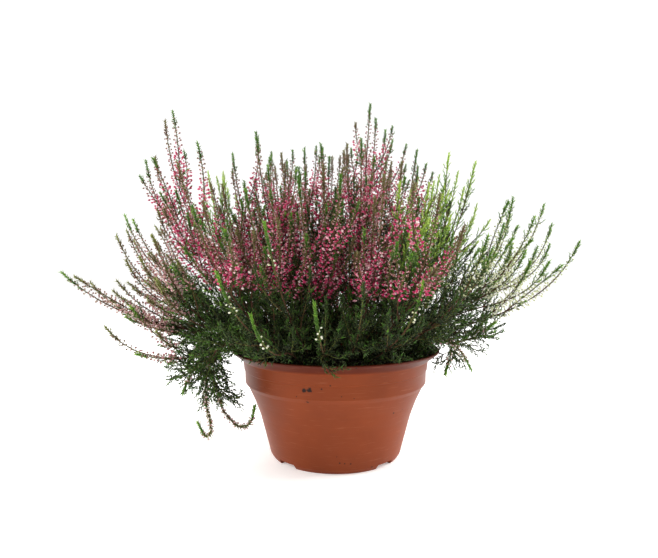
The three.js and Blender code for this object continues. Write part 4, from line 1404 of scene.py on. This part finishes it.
def make_pot(material):
    """The moulded pot: turned wall with rounded corners, drain holes in its floor, notches in its foot."""
    underside = [(0, FLOOR_UNDERSIDE, 0), (FLOOR_EDGE, FLOOR_UNDERSIDE, 0)]
    outline = rounded(underside + POT_OUTSIDE + POT_INSIDE + [(0, FLOOR_TOP, 0)])
    pot = piece_from(lathed(outline, POT_SIDES), "plastic_pot", material)
    cutters = []
    for i in range(DRAIN_HOLES):
        angle = i * TURN / DRAIN_HOLES
        low, high = DRAIN_CUT
        hole = lathed([(0, low), (DRAIN_RADIUS, low), (DRAIN_RADIUS, high), (0, high)], DRAIN_SIDES)
        centre = Vector((DRAIN_RING * math.cos(angle), DRAIN_RING * math.sin(angle), 0)) * MM
        bmesh.ops.translate(hole, verts=hole.verts, vec=centre)
        cutters.append(piece_from(hole, "drain cutter", material))
    for i in range(NOTCHES):
        notch = bmesh.new()
        bmesh.ops.create_cube(notch, size=MM)
        bmesh.ops.scale(notch, verts=notch.verts, vec=(NOTCH_LONG, NOTCH_WIDTH, 2 * NOTCH_HEIGHT))
        rounding = NOTCH_ROUNDING * MM
        bmesh.ops.bevel(notch, geom=notch.edges, offset=rounding, segments=2, profile=0.5, affect="EDGES")
        bmesh.ops.translate(notch, verts=notch.verts, vec=(POT_OUTSIDE[1][0] * MM, 0, 0))
        turn = Matrix.Rotation((i + 0.5) * TURN / NOTCHES, 3, "Z")
        bmesh.ops.rotate(notch, verts=notch.verts, matrix=turn)
        cutters.append(piece_from(notch, "notch cutter", material))
    cut(pot, cutters)
    pot.data.shade_smooth()
    pot.data.set_sharp_from_angle(angle=math.radians(SHARP_FROM))
    return pot


# The peat's body: its gap to the wall, its height at the wall, and how finely it is divided.
PEAT_GAP = 0.45
PEAT_BRIM = 0.6
PEAT_RINGS = 26
PEAT_SIDES = 96

# The waves of its top, in turns of a sine for each mm across and back, and the clods on them.
PEAT_LUMP = 1.5
BROAD_WAVE = (0.13, 0.11)
NARROW_WAVE = 0.23
BROAD_SHARE = 0.6
NARROW_SHARE = 0.4
CLOD_UP = 1.1
CLOD_GRAIN = 0.16

# Loose crumbs: their number, radius, how far they are stretched and dented, and how much stands out.
PEAT_SEED = 4100
PEAT_CRUMBS = 150
CRUMB_RADIUS = (0.5, 1.9)
CRUMB_STRETCH = (0.5, 1.2)
CRUMB_DENTS = (0.85, 1.15)
CRUMB_UP = 0.3
CRUMB_OFF_EDGE = 3


def crumbly(x, y):
    """Height of the peat over its level: the broad lumps of the CAD model with small clods on them."""
    broad = math.sin(BROAD_WAVE[0] * x + 1) * math.cos(BROAD_WAVE[1] * y)
    narrow = math.sin(NARROW_WAVE * (x - y))
    clods = noise.fractal(Vector((x, y, 0)) * CLOD_GRAIN, 1.0, 2.1, 4)
    return PEAT_LUMP * (BROAD_SHARE * broad + NARROW_SHARE * narrow) + CLOD_UP * clods


def make_peat(material):
    """The peat that fills the pot, with a crumbly top and loose crumbs on it."""
    sides = [place for place in reversed(POT_INSIDE) if place[1] < PEAT_UP]
    edge = between((sides[-1][0], POT_INSIDE[1][0]), PEAT_BRIM) - PEAT_GAP
    wall = [(radius - PEAT_GAP, height + PEAT_GAP) for radius, height, _ in sides]
    top = [(edge * (1 - k / PEAT_RINGS), PEAT_UP) for k in range(PEAT_RINGS + 1)]
    build = lathed([(0, FLOOR_TOP + PEAT_GAP)] + wall + top, PEAT_SIDES)
    for corner in build.verts:
        x, y, z = (c / MM for c in corner.co)
        if z > PEAT_UP - 0.1:
            flatter = min(1, (edge - math.hypot(x, y)) / 2 + 0.3)
            corner.co.z = (PEAT_UP + crumbly(x, y) * flatter) * MM
    rng = np.random.default_rng(PEAT_SEED)
    for _ in range(PEAT_CRUMBS):
        x, y = around(rng.uniform(0, TURN), (edge - CRUMB_OFF_EDGE) * math.sqrt(rng.uniform(0, 1)))
        size = rng.uniform(*CRUMB_RADIUS) * MM
        made = bmesh.ops.create_icosphere(build, subdivisions=1, radius=size)
        stretch = rng.uniform(*CRUMB_STRETCH, 3)
        spin = Matrix.Rotation(rng.uniform(0, TURN), 3, "Z")
        foot = Vector((x * MM, y * MM, (PEAT_UP + crumbly(x, y)) * MM + CRUMB_UP * size))
        for corner in made["verts"]:
            dented = np.array(corner.co) * stretch * rng.uniform(*CRUMB_DENTS)
            corner.co = spin @ Vector(dented) + foot
    peat = piece_from(build, "peat_bed", material)
    peat.data.shade_smooth()
    return peat


# ---------------------------------------------------------------- the whole plant


def keep(piece, node):
    """Moves a piece from the pot's axis to its place in the frame, and lets it stand for its CAD node."""
    piece.data.transform(Matrix.Translation(AXIS))
    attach(piece, "root")
    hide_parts(node)


def make_plant():
    woody = [
        bark_finish(),
        leaf_finish("waxy scale leaf", FRESH, "#b8cc7e"),
        leaf_finish("sun-bronzed scale leaf", BRONZE, "#b7a876"),
    ]
    buds = {
        "pink": sepal_finish("rose sepals", "#5a2b28", "#f0bfc6", ROSE, "#d8809a"),
        "pale": sepal_finish("dusty pink sepals", "#6b4433", "#e0ceb6", DUSTY, "#dcb8ae"),
        "cream": sepal_finish("ivory sepals", "#6f6a35", "#c9cf9a", IVORY, "#f2efe0"),
    }
    buds["green"], buds["trailing"] = buds["cream"], buds["pale"]
    sprays = grow_sprays()
    for number, (spray, shoots) in enumerate(zip(sprays, grow_shoots(sprays)), 1):
        kind = "trailing" if spray.trailing else spray.kind
        piece = clothe(spray, shoots).make(f"{kind}_heather_{number:02d}", [*woody, buds[kind]])
        keep(piece, f"spray_{kind}_{number:02d}")


keep(make_pot(pot_finish()), "pot")
keep(make_peat(peat_finish()), "peat")
make_plant()


# ---------------------------------------------------------------- floor, light and camera

SENSOR = 36
IMAGE_WIDE = 658
FOCAL_PIXELS = 544
CAMERA_PLACE = (-0.0063, -0.53, 0.187)
CAMERA_DOWN = math.radians(2.0)
LAMP_TARGET = (0, 0, 0.12)
LAMP_SIZE = 1.0


def make_floor():
    """A wide pale floor, so dull and so evenly lit that it shows only a soft shadow."""
    material, tree, shader = new_finish("matt white floor")
    colour = linear("#f6f5f3")
    inputs = {"Base Color": colour, "Roughness": 0.7, "Emission Color": colour, "Emission Strength": 0.35}
    set_inputs(tree, shader, inputs)
    build = bmesh.new()
    bmesh.ops.create_grid(build, x_segments=1, y_segments=1, size=6.0)
    return piece_from(build, "floor", material)


def make_lamp(name, place, power):
    """A large soft lamp that faces the plant."""
    lamp = bpy.data.lights.new(name, "AREA")
    lamp.size = LAMP_SIZE
    lamp.energy = power
    made = bpy.data.objects.new(name, lamp)
    made.location = place
    made.rotation_euler = (Vector(LAMP_TARGET) - Vector(place)).to_track_quat("-Z", "Y").to_euler()
    bpy.context.scene.collection.objects.link(made)
    return made


def make_world():
    """White all round, and dimmer as a light on the side that faces the plant's front."""
    world = bpy.data.worlds.new("white surround")
    bpy.context.scene.world = world
    world.use_nodes = True
    tree = world.node_tree
    way = add_node(tree, "TexCoord", {})["Generated"]
    back = add_node(tree, "SeparateXYZ", {"Vector": way})["Y"]
    inputs = {"Value": back, "From Min": -0.9, "From Max": 0.7, "To Min": 0.28, "To Max": 1.1}
    light = add_node(tree, "MapRange", inputs)["Result"]
    seen = add_node(tree, "LightPath", {})["Is Camera Ray"]
    strength = add_node(tree, "Math", {0: light, 1: seen}, operation="MAXIMUM")["Value"]
    set_inputs(tree, tree.nodes["Background"], {"Color": (1.0, 1.0, 1.0, 1.0), "Strength": strength})


def make_camera():
    """At the plant's front, a little above the pot, looking two degrees down."""
    lens = bpy.data.cameras.new("camera")
    lens.sensor_width = SENSOR
    lens.lens = SENSOR * FOCAL_PIXELS / IMAGE_WIDE
    lens.dof.use_dof = False
    camera = bpy.data.objects.new("camera", lens)
    camera.location = AXIS + Vector(CAMERA_PLACE)
    camera.rotation_euler = (QUARTER - CAMERA_DOWN, 0, 0)
    bpy.context.scene.collection.objects.link(camera)
    bpy.context.scene.camera = camera


make_floor()
make_lamp("soft left lamp", (-1.3, -0.2, 0.9), 25)
make_lamp("soft right lamp", (1.3, 0.3, 0.8), 29)
make_world()
make_camera()
bpy.context.scene.view_settings.view_transform = "Standard"
